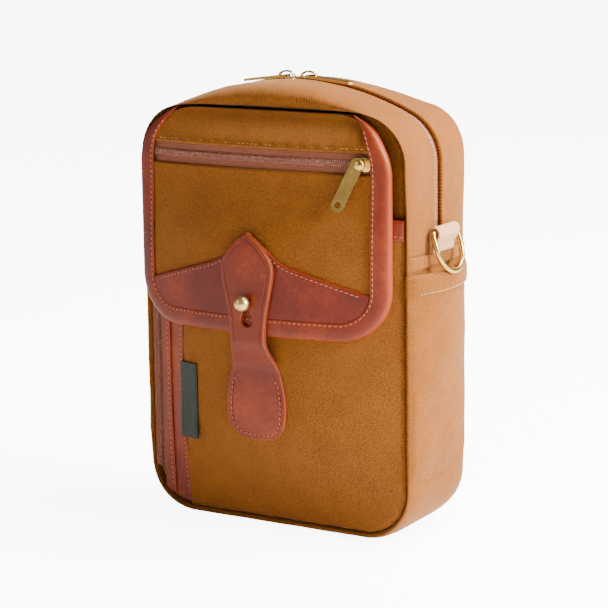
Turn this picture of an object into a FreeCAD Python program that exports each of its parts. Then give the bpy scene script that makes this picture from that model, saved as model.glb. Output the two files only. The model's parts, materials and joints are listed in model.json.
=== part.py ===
"""Upright canvas and leather field pouch, worn by its two rings or on a belt.

The pouch stands on its base. X runs across it, Z up, and its front faces -Y. The origin is the middle
of the base. Lengths are millimetres.

A padded gusset runs round the sides, the base and the crowned top, where a zip with two sliders parts
it. A bellows pocket stands proud of the front panel, and a flap with a zipped pocket of its own closes
over it. A leather tab, sewn to the pocket, holds the flap by a ball stud through its keyhole.
"""

import FreeCAD
import Part
import Sketcher
import math
import os

V = FreeCAD.Vector

SIZES = [
    ("body_width", 172, "over the side gussets"),
    ("body_height", 250, "base to the top of the crown"),
    ("body_depth", 64, "over the front and rear rolled edges"),
    ("crown_radius", 160, "arch of the top, seen from the front"),
    ("top_corner_radius", 30, "outer corner between the crown and the side"),
    ("base_corner_radius", 30, "outer corner between the side and the base"),
    ("gusset_thickness", 3, "canvas and foam of the gusset"),
    ("lip_depth", 5, "rolled edge, front to back"),
    ("roll_radius", 2.2, "rounding of the rolled edge"),
    ("seam_inset", 4, "panel seam in from the side"),
    ("seam_lift", 5, "panel seam up from the base"),
    ("top_roll", 14, "panel seam down from the crown"),
    ("seam_corner_radius", 26, "corners of the two panels"),
    ("panel_thickness", 3, "canvas and foam of a panel"),
    ("panel_recess", 2, "panel behind the rolled edge"),
    ("gusset_joint_height", 160, "where the zipped gusset meets the lower one"),
    ("pad_thickness", 4, "foam inside the front and rear panels"),
    ("pad_margin", 4, "foam short of the cavity's sides"),
    ("base_pad_thickness", 4, "foam on the base"),
    ("base_board_thickness", 1.2, "stiffener on the base foam"),
    ("lining_thickness", 0.6, "lining cloth"),
    ("lining_gap", 2, "lining short of the gusset"),
    ("lining_top", 224, "top hem of the lining"),
    ("zip_opening", 9, "gap in the gusset over the main zip"),
    ("tape_width", 11.4, "one tape of the main zip"),
    ("tape_thickness", 0.7, "woven tape"),
    ("coil_width", 2, "one coil of the main zip"),
    ("coil_height", 1.6, "coil over its tape"),
    ("coil_spacing", 1.2, "between the two coils"),
    ("slider_length", 12.5, "main slider"),
    ("slider_width", 7.6, "main slider"),
    ("slider_plate", 1.2, "plate of a slider"),
    ("slide_clearance", 0.3, "between a slider and what it runs on"),
    ("bridge_height", 4, "bridge over the top plate"),
    ("bridge_thickness", 1.2, "bar of the bridge"),
    ("bridge_width", 2, "bridge across the zip"),
    ("pull_length", 28, "pivot to tip"),
    ("pull_width", 6.5, "flat pull"),
    ("pull_thickness", 1.4, "flat pull"),
    ("pull_hole", 3.4, "hole near a pull's tip"),
    ("pull_eye", 6, "reach of the eye from the pivot"),
    ("pull_droop", 4, "degrees that a resting pull dips"),
    ("left_slider_offset", -9, "left slider from the middle"),
    ("right_slider_offset", 5.5, "right slider from the middle"),
    ("ring_wire", 3, "wire of a ring"),
    ("ring_width", 28, "ring, centre to centre of its legs"),
    ("ring_drop", 22.5, "bar to the bottom of the ring, centre to centre"),
    ("ring_corner", 2, "bend between bar and leg"),
    ("ring_lean", 17, "degrees that the ring leans over the side pocket"),
    ("ring_bar_height", 171, "bar of a ring above the base"),
    ("strap_thickness", 1.5, "webbing of a ring tab"),
    ("strap_width", 24, "webbing of a ring tab"),
    ("strap_clearance", 0.6, "between the bar and its loop"),
    ("strap_sewn", 4, "ends of a ring tab, sewn together"),
    ("band_height", 7.5, "canvas band below a ring tab"),
    ("band_thickness", 1.4, "canvas band below a ring tab"),
    ("side_pocket_width", 54, "side pocket, front to back"),
    ("side_pocket_bottom", 34, "bottom seam of a side pocket"),
    ("side_pocket_top", 150, "mouth of a side pocket"),
    ("side_pocket_bulge", 6, "mouth of a side pocket off the gusset"),
    ("side_cloth", 1.5, "canvas of a side pocket"),
    ("side_hem_height", 11, "hem at a side pocket's mouth"),
    ("side_hem_thickness", 1, "turned hem over the canvas"),
    ("front_bulge", 15.4, "bellows of the front pocket"),
    ("flap_ease", 1.4, "flap's arch shallower than the bellows"),
    ("bulge_rise", 62, "height over which the bellows fills out"),
    ("bulge_fade_start", 158, "where the front starts to fall away towards the top"),
    ("zip_shelf", 7, "bulge across the level of the flap's zip"),
    ("shelf_margin", 2, "level stretch past the zip, above and below"),
    ("pocket_top", 180, "mouth of the front pocket"),
    ("pocket_cloth", 1.6, "canvas of the front pocket"),
    ("pocket_binding_height", 11, "leather on the pocket's mouth"),
    ("pocket_binding_thickness", 1.2, "leather on the pocket's mouth"),
    ("guard_width", 16.5, "leather beside the pocket zip"),
    ("welt_width", 7, "second leather layer of the guard"),
    ("welt_thickness", 1.2, "second leather layer of the guard"),
    ("pocket_zip_width", 7.5, "zip between the seam and the guard"),
    ("pocket_zip_bottom", 26, "lower end of the pocket zip"),
    ("pocket_zip_top", 168, "upper end of the pocket zip"),
    ("pocket_coil_width", 1.4, "one coil of the pocket zip"),
    ("pocket_coil_spacing", 0.6, "between the pocket zip's coils"),
    ("small_tape", 0.5, "tape of the two small zips"),
    ("small_coil", 1.2, "coils of the two small zips, over their tape"),
    ("small_plate", 0.9, "plates of the two small sliders"),
    ("pocket_slider_length", 9, "slider of the pocket zip"),
    ("pocket_slider_blade", 0.3, "web between its plates"),
    ("pocket_slider_height", 156, "its lower end, closed"),
    ("pocket_pull_length", 20, "flat pull of the pocket zip"),
    ("pocket_pull_width", 4.4, "flat pull of the pocket zip"),
    ("flap_gap", 3.2, "flap's backing off the pocket, at its edges"),
    ("flap_backing", 0.8, "inner cloth of the flap"),
    ("flap_pocket_gap", 1.8, "room between the flap's two cloths"),
    ("flap_cloth", 1.4, "outer canvas of the flap"),
    ("flap_leather", 1.5, "binding and yoke leather"),
    ("flap_side_gap", 2, "flap's edge in from the width of the panel seam, each side"),
    ("flap_offset", -2.5, "middle of the flap, its stud and the tab"),
    ("flap_bottom", 114, "lower edge of the flap"),
    ("flap_top_drop", 0.6, "flap's fold edge below the top seam"),
    ("flap_settle", 0.4, "flap's backing off the panel, at its fold"),
    ("flap_corner_radius", 28, "lower corners of the flap"),
    ("flap_shoulder_radius", 34, "upper corners of the flap"),
    ("flap_arch_rise", 1, "where the flap's outline would close, above the top seam"),
    ("binding_width", 10.5, "leather along the flap's edge"),
    ("binding_arch_rise", 10, "where the binding's inner edge would close, above the top seam"),
    ("binding_shoulder_radius", 40, "upper corners of the binding's inner edge"),
    ("binding_rim", 1.5, "leather past the cloth's edge"),
    ("yoke_side_height", 140, "yoke's edge at the binding"),
    ("yoke_middle_height", 165, "yoke's peak, under the tab"),
    ("flap_zip_window", 11, "height of the window over the flap's zip"),
    ("flap_zip_drop", 20, "top of that window below the top seam"),
    ("flap_coil_width", 1.6, "one coil of the flap's zip"),
    ("flap_coil_end", 2.5, "coils of the flap's zip short of the binding"),
    ("flap_slider_offset", 61.5, "flap's slider from the flap's middle, closed"),
    ("flap_slider_length", 10, "slider of the flap's zip"),
    ("flap_slider_width", 7.4, "slider of the flap's zip"),
    ("post_radius", 1.2, "post that the flap's pull turns on"),
    ("post_height", 2.4, "post that the flap's pull turns on"),
    ("cap_radius", 2.6, "cap of that post"),
    ("cap_height", 1.4, "cap of that post"),
    ("post_clearance", 0.3, "pull's eye round the post"),
    ("flap_pull_width", 7.5, "pull of the flap's zip"),
    ("flap_pull_swing", 25.5, "degrees that this pull lies off the plumb line"),
    ("flap_pull_tilt", 4, "degrees that this pull stands off the cloth below"),
    ("hinge_drop", 1, "fold of the flap, below the top seam"),
    ("hinge_forward", 34.5, "fold of the flap, forward of the middle"),
    ("tab_top", 171.4, "tip of the tab"),
    ("tab_bottom", 53.5, "lower end of the tab"),
    ("tab_leaf_width", 33, "widest part of the tab's upper end"),
    ("tab_waist_width", 21.8, "waist of the tab"),
    ("tab_bulb_width", 38.4, "widest part of the tab's sewn end"),
    ("tab_leather", 2.4, "tab leather"),
    ("tab_fold_height", 93, "top of the tab's sewn end"),
    ("tab_split", 0.6, "between the sewn end and the free tongue"),
    ("tab_clearance", 0.4, "tongue off the flap"),
    ("stud_height", 133, "ball stud"),
    ("stud_ball", 8.8, "ball of the stud"),
    ("stud_neck", 4.2, "neck of the stud"),
    ("stud_shank", 3, "shank through the flap"),
    ("shank_clearance", 0.1, "hole round the shank"),
    ("screw_head", 8, "screw head inside the flap"),
    ("screw_head_height", 0.9, "screw head inside the flap"),
    ("screw_seat", 0.03, "screw head off the flap's backing"),
    ("keyhole", 5, "round part of the tab's keyhole"),
    ("keyhole_drop", 10, "round part to the foot of the slit"),
    ("keyhole_foot", 3.6, "radius at the foot of the slit"),
    ("label_height", 44, "folded ribbon label"),
    ("label_reach", 14, "ribbon label out of its seam"),
    ("label_bottom", 47.5, "lower end of the ribbon label"),
    ("label_ribbon", 0.5, "ribbon"),
    ("label_fold", 2.4, "folded ribbon, over both layers"),
    ("label_lean", 18, "degrees that the label stands off the pocket"),
    ("belt_loop_width", 42, "webbing on the back"),
    ("belt_loop_bottom", 88, "lower end of the belt loop"),
    ("belt_loop_top", 172, "upper end of the belt loop"),
    ("belt_loop_sewn", 12, "sewn end of the belt loop"),
    ("belt_loop_gap", 6, "room for a belt"),
    ("belt_loop_webbing", 2, "webbing on the back"),
    ("belt_loop_slope", 8, "height over which the loop stands off"),
]

doc = FreeCAD.newDocument("pouch")
sheet = doc.addObject("Spreadsheet::Sheet", "sizes")
for row, (alias, value, note) in enumerate(SIZES, start=1):
    sheet.set(f"A{row}", note)
    sheet.set(f"B{row}", str(value))
    sheet.setAlias(f"B{row}", alias)
doc.recompute()


def size(alias):
    """A driving size, read back from the sheet."""
    return float(sheet.get(alias))


# Sizes that several pieces share, worked out from the driving ones.
half_width = size("body_width") / 2
half_depth = size("body_depth") / 2
height = size("body_height")
crown_centre = height - size("crown_radius")
corner_x = half_width - size("top_corner_radius")
corner_z = crown_centre + math.sqrt((size("crown_radius") - size("top_corner_radius")) ** 2 - corner_x**2)
crown_lean = math.atan2(corner_x, corner_z - crown_centre)
seam_half = half_width - size("seam_inset")
seam_bottom = size("seam_lift")
seam_top = height - size("top_roll")
panel_face = half_depth - size("panel_recess")
joint_z = size("gusset_joint_height")
clearance = size("slide_clearance")
guard_edge = -seam_half + size("pocket_zip_width")
flap_half = seam_half - size("flap_side_gap")
flap_top = seam_top - size("flap_top_drop")
flap_bulge = size("front_bulge") - size("flap_ease")
hinge_z = seam_top - size("hinge_drop")
window_high = seam_top - size("flap_zip_drop")
window_low = window_high - size("flap_zip_window")

# Layers of the front, each as (near, far) off the bellows surface.
pocket_far = size("pocket_cloth")
backing_near = pocket_far + size("flap_gap")
backing_far = backing_near + size("flap_backing")
cloth_near = backing_far + size("flap_pocket_gap")
cloth_far = cloth_near + size("flap_cloth")
leather_far = cloth_far + size("flap_leather")
tongue_near = leather_far + size("tab_clearance")

parts = []


def keep(obj, label):
    """Gives a finished sub-part its name and lists it for export."""
    obj.Label = label
    parts.append(obj)
    return obj


def bind(obj, **cells):
    """Ties properties to expressions on the sheet; a double underscore stands for a dot."""
    for name, expression in cells.items():
        obj.setExpression(name.replace("__", "."), expression)
    return obj


def feature(label, shape):
    """A sub-part whose shape neither a sketch nor a primitive gives."""
    return keep(bare_feature(label, shape), label)


def bare_feature(name, shape):
    obj = doc.addObject("Part::Feature", name)
    obj.Shape = shape
    return obj


def box(name, length, width, depth, x="0", y="0", z="0"):
    """A box with its lowest corner at x, y, z; every argument is an expression."""
    obj = doc.addObject("Part::Box", name)
    return bind(
        obj,
        Length=length,
        Width=width,
        Height=depth,
        Placement__Base__x=x,
        Placement__Base__y=y,
        Placement__Base__z=z,
    )


def cylinder(name, radius, length, x="0", y="0", z="0", along=V(0, 0, 1)):
    """A cylinder whose foot is at x, y, z; the numbers are expressions."""
    obj = doc.addObject("Part::Cylinder", name)
    obj.Placement = FreeCAD.Placement(V(), FreeCAD.Rotation(V(0, 0, 1), along))
    return bind(
        obj,
        Radius=radius,
        Height=length,
        Placement__Base__x=x,
        Placement__Base__y=y,
        Placement__Base__z=z,
    )


def fuse(name, *shapes):
    obj = doc.addObject("Part::MultiFuse", name)
    obj.Shapes = list(shapes)
    obj.Refine = True
    return obj


def cut(name, base, tool):
    obj = doc.addObject("Part::Cut", name)
    obj.Base = base
    obj.Tool = tool
    return obj


def rounded_rectangle(sketch, width, depth, radius):
    """Lines and tangent arcs about the sketch's origin, tied to three expressions."""
    w, h, r = (doc_value(e) for e in (width, depth, radius))
    a, b = w / 2 - r, h / 2 - r
    quarter = math.pi / 2
    centres = [V(a, b), V(-a, b), V(-a, -b), V(a, -b)]
    for n, c in enumerate(centres):
        circle = Part.Circle(c, V(0, 0, 1), r)
        sketch.addGeometry(Part.ArcOfCircle(circle, n * quarter, (n + 1) * quarter))
    ends = [
        (V(a, h / 2), V(-a, h / 2)),
        (V(-w / 2, b), V(-w / 2, -b)),
        (V(-a, -h / 2), V(a, -h / 2)),
        (V(w / 2, -b), V(w / 2, b)),
    ]
    for start, end in ends:
        sketch.addGeometry(Part.LineSegment(start, end))
    add = sketch.addConstraint
    for n in range(4):
        add(Sketcher.Constraint("Tangent", n, 2, 4 + n, 1))
        add(Sketcher.Constraint("Tangent", 4 + n, 2, (n + 1) % 4, 1))
    add(Sketcher.Constraint("Horizontal", 4))
    add(Sketcher.Constraint("Horizontal", 6))
    add(Sketcher.Constraint("Vertical", 5))
    add(Sketcher.Constraint("Vertical", 7))
    for n in range(1, 4):
        add(Sketcher.Constraint("Equal", 0, n))
    add(Sketcher.Constraint("Symmetric", 0, 3, 2, 3, -1, 1))
    named = [("radius", Sketcher.Constraint("Radius", 0, r), radius)]
    named.append(("half_wide", Sketcher.Constraint("DistanceX", -1, 1, 7, 1, w / 2), f"({width}) / 2"))
    named.append(("half_high", Sketcher.Constraint("DistanceY", -1, 1, 4, 1, h / 2), f"({depth}) / 2"))
    for name, constraint, expression in named:
        index = add(constraint)
        sketch.renameConstraint(index, name)
        sketch.setExpression(f"Constraints.{name}", expression)


def doc_value(expression):
    """The number that an expression on the sheet has now."""
    return float(sheet.evalExpression(expression))


def plate(label, plane, width, depth, radius, thickness, x="0", y="0", z="0"):
    """A rounded plate: one sketch on the body's XZ or XY plane, padded towards -Y or +Z."""
    body = doc.addObject("PartDesign::Body", label)
    sketch = body.newObject("Sketcher::SketchObject", f"{label}_outline")
    origin_plane = next(f for f in body.Origin.OriginFeatures if f.Role == plane)
    sketch.AttachmentSupport = [(origin_plane, "")]
    sketch.MapMode = "FlatFace"
    rounded_rectangle(sketch, width, depth, radius)
    pad = body.newObject("PartDesign::Pad", f"{label}_pad")
    pad.Profile = sketch
    bind(pad, Length=thickness)
    bind(body, Placement__Base__x=x, Placement__Base__y=y, Placement__Base__z=z)
    return keep(body, label)


def at(x, z, y=0.0):
    return V(x, y, z)


def arc(centre, radius, start, end):
    """An arc in the XZ plane; its angles are degrees from +X towards +Z."""
    points = []
    for turn in (start, (start + end) / 2, end):
        a = math.radians(turn)
        points.append(at(centre[0] + radius * math.cos(a), centre[1] + radius * math.sin(a)))
    return Part.Arc(*points).toShape()


def joined(edges):
    """The edges of a closed outline, with straight runs between those that don't meet."""
    closed = []
    for n, edge in enumerate(edges):
        closed.append(edge)
        gap_from = edge.lastVertex(True).Point
        gap_to = edges[(n + 1) % len(edges)].firstVertex(True).Point
        if gap_from.distanceToPoint(gap_to) > 1e-6:
            closed.append(Part.LineSegment(gap_from, gap_to).toShape())
    return Part.Wire(closed)


def body_outline(inset):
    """The pouch from the front: base, sides, corners and crown, moved in by inset."""
    lean = math.degrees(crown_lean)
    base_r = size("base_corner_radius")
    base_x = half_width - base_r
    top_r = size("top_corner_radius") - inset
    low_r = base_r - inset
    return joined(
        [
            arc((base_x, base_r), low_r, -90, 0),
            arc((corner_x, corner_z), top_r, 0, 90 - lean),
            arc((0, crown_centre), size("crown_radius") - inset, 90 - lean, 90 + lean),
            arc((-corner_x, corner_z), top_r, 90 + lean, 180),
            arc((-base_x, base_r), low_r, 180, 270),
        ]
    )


def rounded_outline(half, bottom, top, low_r, high_r):
    """A rectangle in the XZ plane with its lower and upper corners rounded."""
    return joined(
        [
            arc((half - low_r, bottom + low_r), low_r, -90, 0),
            arc((half - high_r, top - high_r), high_r, 0, 90),
            arc((-half + high_r, top - high_r), high_r, 90, 180),
            arc((-half + low_r, bottom + low_r), low_r, 180, 270),
        ]
    )


def seam_outline():
    radius = size("seam_corner_radius")
    return rounded_outline(seam_half, seam_bottom, seam_top, radius, radius)


def prism(outline, y_from, y_to):
    """A solid with that outline, between two planes across Y."""
    face = Part.Face(outline)
    face.translate(V(0, y_from, 0))
    return face.extrude(V(0, y_to - y_from, 0))


def block(x0, x1, y0, y1, z0, z1):
    return Part.makeBox(x1 - x0, y1 - y0, z1 - z0, V(x0, y0, z0))


def smooth(t):
    """0 below 0, 1 above 1, and an even S between."""
    t = min(1.0, max(0.0, t))
    return t * t * (3 - 2 * t)


def fullness(z, bulge):
    """How far the front stands out at a height: full, a level shelf at the flap's zip, then nothing."""
    rise = smooth((z - seam_bottom) / size("bulge_rise"))
    start = size("bulge_fade_start")
    shelf_low = window_low - size("shelf_margin")
    shelf_high = window_high + size("shelf_margin")
    shelf = size("zip_shelf")
    out = shelf + (bulge * rise - shelf) * (1 - smooth((z - start) / (shelf_low - start)))
    return out * (1 - smooth((z - shelf_high) / (hinge_z - shelf_high)))


def pocket_front(x, z):
    """Y of the bellows under the pocket's canvas: an arch from the zip's guard to the far seam."""
    middle = (seam_half + guard_edge) / 2
    reach = (seam_half - guard_edge) / 2
    return -panel_face - fullness(z, size("front_bulge")) * max(0.0, 1 - ((x - middle) / reach) ** 2)


def flap_front(x, z):
    """Y of the surface that the flap's layers lie over, about the flap's own middle.

    Above the zip's window it settles back, so that the flap meets the top seam.
    """
    start = window_high + size("shelf_margin")
    settled = (backing_near - size("flap_settle")) * smooth((z - start) / (hinge_z - start))
    return -panel_face - fullness(z, flap_bulge) * max(0.0, 1 - (x / flap_half) ** 2) + settled


def spread(start, end, count):
    return [start + (end - start) * n / (count - 1) for n in range(count)]


def sheet_solid(surface, xs, zs, near, far):
    """The space between two copies of a surface y(x, z), moved out by near and by far."""
    grid = [[V(x, surface(x, z) - near, z) for z in zs] for x in xs]
    spline = Part.BSplineSurface()
    spline.interpolate(grid)
    return spline.toShape().extrude(V(0, near - far, 0))


def layer(surface, outline, near, far, start):
    """One layer of the front inside an outline, from start across, over the given surface."""
    margin = 2
    xs = spread(start, seam_half + margin, 21)
    zs = spread(seam_bottom - margin, height, 34)
    slab = sheet_solid(surface, xs, zs, near, far)
    return slab.common(prism(outline, -4 * half_depth, 0))


def pocket_layer(outline, near, far):
    return layer(pocket_front, outline, near, far, guard_edge)


def flap_layer(outline, near, far):
    return layer(flap_front, outline, near, far, -seam_half - 2)


def flap_feature(label, shape):
    """A piece of the flap, carried from the flap's own middle to its place."""
    return feature(label, only_solid(shape.translated(V(size("flap_offset"), 0, 0))))


def only_solid(shape):
    """The shape itself, or its one solid if a boolean wrapped it."""
    return shape.Solids[0] if len(shape.Solids) == 1 else shape


def inside_box(shape, x0=-500, x1=500, z0=-500, z1=500):
    return only_solid(shape.common(block(x0, x1, -500, 500, z0, z1)))


# ---------------------------------------------------------------- shell


def make_shell():
    """The gusset as one padded ring, then parted at the side joints and along the zip."""
    t, lip = size("gusset_thickness"), size("lip_depth")
    ring = prism(body_outline(0), -half_depth, half_depth)
    rims = []
    for edge in ring.Edges:
        ys = [v.Point.y for v in edge.Vertexes]
        if abs(abs(ys[0]) - half_depth) < 1e-6 and abs(ys[0] - ys[-1]) < 1e-6:
            rims.append(edge)
    ring = ring.makeFillet(min(size("roll_radius"), 0.8 * t), rims)
    ring = ring.cut(prism(body_outline(t), -half_depth + lip, half_depth - lip))
    ring = ring.cut(prism(seam_outline(), -half_depth, half_depth))
    gap = size("zip_opening") / 2
    lower = ring.common(block(-500, 500, -500, 500, -500, joint_z))
    feature("lower_gusset", only_solid(lower))
    front = ring.common(block(-500, 500, -500, -gap, joint_z, 500))
    feature("upper_gusset_front", only_solid(front))
    rear = ring.common(block(-500, 500, gap, 500, joint_z, 500))
    feature("upper_gusset_rear", only_solid(rear))


def make_panels():
    wide = "sizes.body_width - 2 * sizes.seam_inset"
    tall = "sizes.body_height - sizes.top_roll - sizes.seam_lift"
    middle = "(sizes.body_height - sizes.top_roll + sizes.seam_lift) / 2"
    thick = "sizes.panel_thickness"
    face = "(sizes.body_depth / 2 - sizes.panel_recess)"
    radius = "sizes.seam_corner_radius"
    plate("front_panel", "XZ_Plane", wide, tall, radius, thick, y=f"{thick} - {face}", z=middle)
    plate("rear_panel", "XZ_Plane", wide, tall, radius, thick, y=face, z=middle)


def make_inside():
    """Foam, stiffener and lining."""
    margin = "2 * sizes.pad_margin"
    wide = f"sizes.body_width - 2 * sizes.gusset_thickness - {margin}"
    tall = f"sizes.body_height - sizes.top_roll - sizes.gusset_thickness - {margin}"
    middle = "(sizes.body_height - sizes.top_roll + sizes.gusset_thickness) / 2"
    thick = "sizes.pad_thickness"
    inner = "(sizes.body_depth / 2 - sizes.panel_recess - sizes.panel_thickness)"
    radius = "sizes.seam_corner_radius"
    plate("front_pad", "XZ_Plane", wide, tall, radius, thick, y=f"{thick} - {inner}", z=middle)
    plate("rear_pad", "XZ_Plane", wide, tall, radius, thick, y=inner, z=middle)
    floor = "sizes.gusset_thickness"
    long = "sizes.body_width - 2 * sizes.base_corner_radius"
    deep = f"2 * ({inner} - {thick})"
    foam = "sizes.base_pad_thickness"
    corner = "sizes.pad_margin"
    plate("base_pad", "XY_Plane", long, deep, corner, foam, z=floor)
    board = "sizes.base_board_thickness"
    plate("base_board", "XY_Plane", long, deep, corner, board, z=f"{floor} + {foam}")
    t = size("lining_thickness")
    half = half_width - size("gusset_thickness") - size("lining_gap")
    y = panel_face - size("panel_thickness") - size("pad_thickness") - size("lining_gap") / 2
    z0 = size("gusset_thickness") + size("base_pad_thickness") + size("base_board_thickness")
    z0 += size("lining_gap") / 2
    r = size("seam_corner_radius")
    top = size("lining_top")
    bag = prism(rounded_outline(half, z0, top, r, r), -y, y)
    room = prism(rounded_outline(half - t, z0 + t, top - t, r - t, r - t), t - y, y - t)
    feature("lining", inside_box(bag.cut(room), z1=top - r))


# ---------------------------------------------------------------- main zip


def arch_band(outer, inner, y_from, y_to):
    """A band under the crown and corners, above the gusset joint."""
    band = prism(body_outline(outer), y_from, y_to).cut(prism(body_outline(inner), y_from, y_to))
    return only_solid(band.common(block(-500, 500, -500, 500, joint_z, 500)))


def make_main_zip():
    t = size("gusset_thickness")
    gap = size("coil_spacing") / 2
    for side, sign in (("front", -1), ("rear", 1)):
        tape_ys = sorted((sign * gap, sign * (gap + size("tape_width"))))
        coil_ys = sorted((sign * gap, sign * (gap + size("coil_width"))))
        feature(f"main_tape_{side}", arch_band(t, t + size("tape_thickness"), *tape_ys))
        feature(f"main_coil_{side}", arch_band(t - size("coil_height"), t, *coil_ys))


def crown_placement(offset, lift=0.0, droop=0.0, flip=False):
    """Carries a piece from the middle of the zip to a place along the crown."""
    turn = math.asin(offset / size("crown_radius"))
    spin = FreeCAD.Rotation(V(0, 1, 0), math.degrees(turn))
    reach = spin.multVec(V(0, 0, size("crown_radius") + lift))
    piece_turn = FreeCAD.Rotation(V(0, 1, 0), droop)
    half_turn = FreeCAD.Rotation(V(0, 0, 1), 180 if flip else 0)
    return FreeCAD.Placement(V(0, 0, crown_centre) + reach, spin * half_turn * piece_turn)


def slider_top():
    """Top of a main slider's upper plate, over the gusset's surface."""
    coil_top = size("coil_height") - size("gusset_thickness")
    return coil_top + clearance + size("slider_plate")


def make_main_slider(side, offset, flip):
    """Two plates with the tapes between them, a web between the coils, and a bridge for the pull."""
    name = f"{side}_slider"
    top = "(sizes.coil_height - sizes.gusset_thickness + sizes.slide_clearance + sizes.slider_plate)"
    low = "(0 - sizes.gusset_thickness - sizes.tape_thickness - sizes.slide_clearance)"
    plate_t, wide, long = "sizes.slider_plate", "sizes.slider_width", "sizes.slider_length"
    bar, tall, across = "sizes.bridge_thickness", "sizes.bridge_height", "sizes.bridge_width"
    web = "(sizes.coil_spacing - 2 * sizes.slide_clearance)"
    span = f"({long} - 2 * {bar})"
    upper = box(f"{name}_upper", long, wide, plate_t, f"-{long} / 2", f"-{wide} / 2", f"{top} - {plate_t}")
    lower = box(f"{name}_lower", long, wide, plate_t, f"-{long} / 2", f"-{wide} / 2", f"{low} - {plate_t}")
    web_low, web_tall = f"{low} - {plate_t}", f"{top} - {low} + {plate_t}"
    middle = box(f"{name}_web", long, web, web_tall, f"-{long} / 2", f"-{web} / 2", web_low)
    arch = box(f"{name}_arch", span, across, tall, f"-{span} / 2", f"-{across} / 2", top)
    room = box(
        f"{name}_room",
        f"{span} - 2 * {bar}",
        across,
        f"{tall} - {bar}",
        f"{bar} - {span} / 2",
        f"-{across} / 2",
        top,
    )
    bridge = cut(f"{name}_bridge", arch, room)
    slider = fuse(name, upper, lower, middle, bridge)
    slider.Placement = crown_placement(offset, 0, 0, flip)
    keep(slider, name)


def make_flat_pull(name, width, placement):
    """A flat pull lying along +X from its pivot, with an eye round the bridge and a hole at its tip."""
    long, thick = "sizes.pull_length", "sizes.pull_thickness"
    tip_x = f"({long} - {width} / 2)"
    bar = f"({thick} / 2)"
    shank = box(f"{name}_shank", f"{tip_x} + {bar}", width, thick, f"-{bar}", f"-{width} / 2", f"-{bar}")
    tip = cylinder(f"{name}_tip", f"{width} / 2", thick, tip_x, "0", f"-{bar}")
    eye = box(
        f"{name}_eye",
        f"sizes.pull_eye - {bar}",
        "sizes.bridge_width + 3 * sizes.slide_clearance",
        f"2 * {thick}",
        bar,
        "-(sizes.bridge_width + 3 * sizes.slide_clearance) / 2",
        f"-{thick}",
    )
    hole = cylinder(f"{name}_hole", "sizes.pull_hole / 2", f"2 * {thick}", tip_x, "0", f"-{thick}")
    pull = cut(name, fuse(f"{name}_plate", shank, tip), fuse(f"{name}_holes", eye, hole))
    pull.Placement = placement
    keep(pull, name)


def make_main_sliders():
    room = (size("bridge_height") - size("bridge_thickness")) / 2
    lift = slider_top() + room
    for side, offset, flip in (
        ("left", size("left_slider_offset"), True),
        ("right", size("right_slider_offset"), False),
    ):
        make_main_slider(side, offset, flip)
        place = crown_placement(offset, lift, size("pull_droop"), flip)
        make_flat_pull(f"{side}_pull", "sizes.pull_width", place)


# ---------------------------------------------------------------- rings and side pockets


def mirrored(shape):
    return shape.mirror(V(), V(1, 0, 0))


def ring_bar_x():
    """The bar of a ring off the middle: webbing, clearance and wire outside the gusset."""
    loop = size("ring_wire") / 2 + size("strap_clearance")
    return half_width + size("strap_thickness") + loop


def make_ring_tab():
    """Webbing folded over the bar of the ring, both ends sewn above the band."""
    t = size("strap_thickness")
    inner = size("ring_wire") / 2 + size("strap_clearance")
    x, z = ring_bar_x(), size("ring_bar_height")
    y = size("strap_width") / 2
    low, sewn = joint_z, size("strap_sewn")
    fold = Part.makeCylinder(inner + t, 2 * y, V(x, -y, z), V(0, 1, 0))
    fold = fold.cut(Part.makeCylinder(inner, 2 * y, V(x, -y, z), V(0, 1, 0)))
    fold = fold.common(block(x - 50, x + 50, -y, y, z, z + 50))
    back = block(half_width, half_width + t, -y, y, low, z)
    corners = [
        at(x + inner, z),
        at(x + inner + t, z),
        at(half_width + 2 * t, low + sewn),
        at(half_width + 2 * t, low),
        at(half_width + t, low),
        at(half_width + t, low + sewn),
    ]
    front = prism(Part.makePolygon(corners + corners[:1]), -y, y)
    return fold.fuse([back, front]).removeSplitter()


def make_ring():
    """A D of round wire: bar in the loop, two legs and a half circle, leaning outwards."""
    wide, corner = size("ring_width") / 2, size("ring_corner")
    straight = size("ring_drop") - wide
    diagonal = corner * (1 - math.sqrt(0.5))

    def point(y, z):
        return V(0, y, z)

    def half(sign):
        bend = Part.Arc(
            point(sign * (wide - corner), 0),
            point(sign * (wide - diagonal), -diagonal),
            point(sign * wide, -corner),
        )
        leg = Part.LineSegment(point(sign * wide, -corner), point(sign * wide, -straight))
        return bend.toShape(), leg.toShape()

    right_bend, right_leg = half(1)
    left_bend, left_leg = half(-1)
    bar = Part.LineSegment(point(corner - wide, 0), point(wide - corner, 0)).toShape()
    bow = Part.Arc(point(wide, -straight), point(0, -straight - wide), point(-wide, -straight)).toShape()
    path = Part.Wire([bar, right_bend, right_leg, bow, left_leg, left_bend])
    section = Part.Wire(Part.Circle(point(corner - wide, 0), V(0, 1, 0), size("ring_wire") / 2).toShape())
    ring = Part.makeSolid(path.makePipeShell([section], True, False))
    ring.rotate(V(), V(0, 1, 0), -size("ring_lean"))
    ring.translate(V(ring_bar_x(), 0, size("ring_bar_height")))
    return ring


def side_pocket_sheet(near, far, z_from):
    """A side pocket's layer: it bows out from its seams towards the mouth."""
    bottom, top = size("side_pocket_bottom"), size("side_pocket_top")
    reach = size("side_pocket_width") / 2

    def bow(y, z):
        return size("side_pocket_bulge") * (1 - (y / reach) ** 2) * smooth((z - bottom) / (top - bottom))

    ys, zs = spread(-reach, reach, 9), spread(bottom, top, 15)
    grid = [[V(half_width + bow(y, z) + near, y, z) for z in zs] for y in ys]
    spline = Part.BSplineSurface()
    spline.interpolate(grid)
    return inside_box(spline.toShape().extrude(V(far - near, 0, 0)), z0=z_from)


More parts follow.
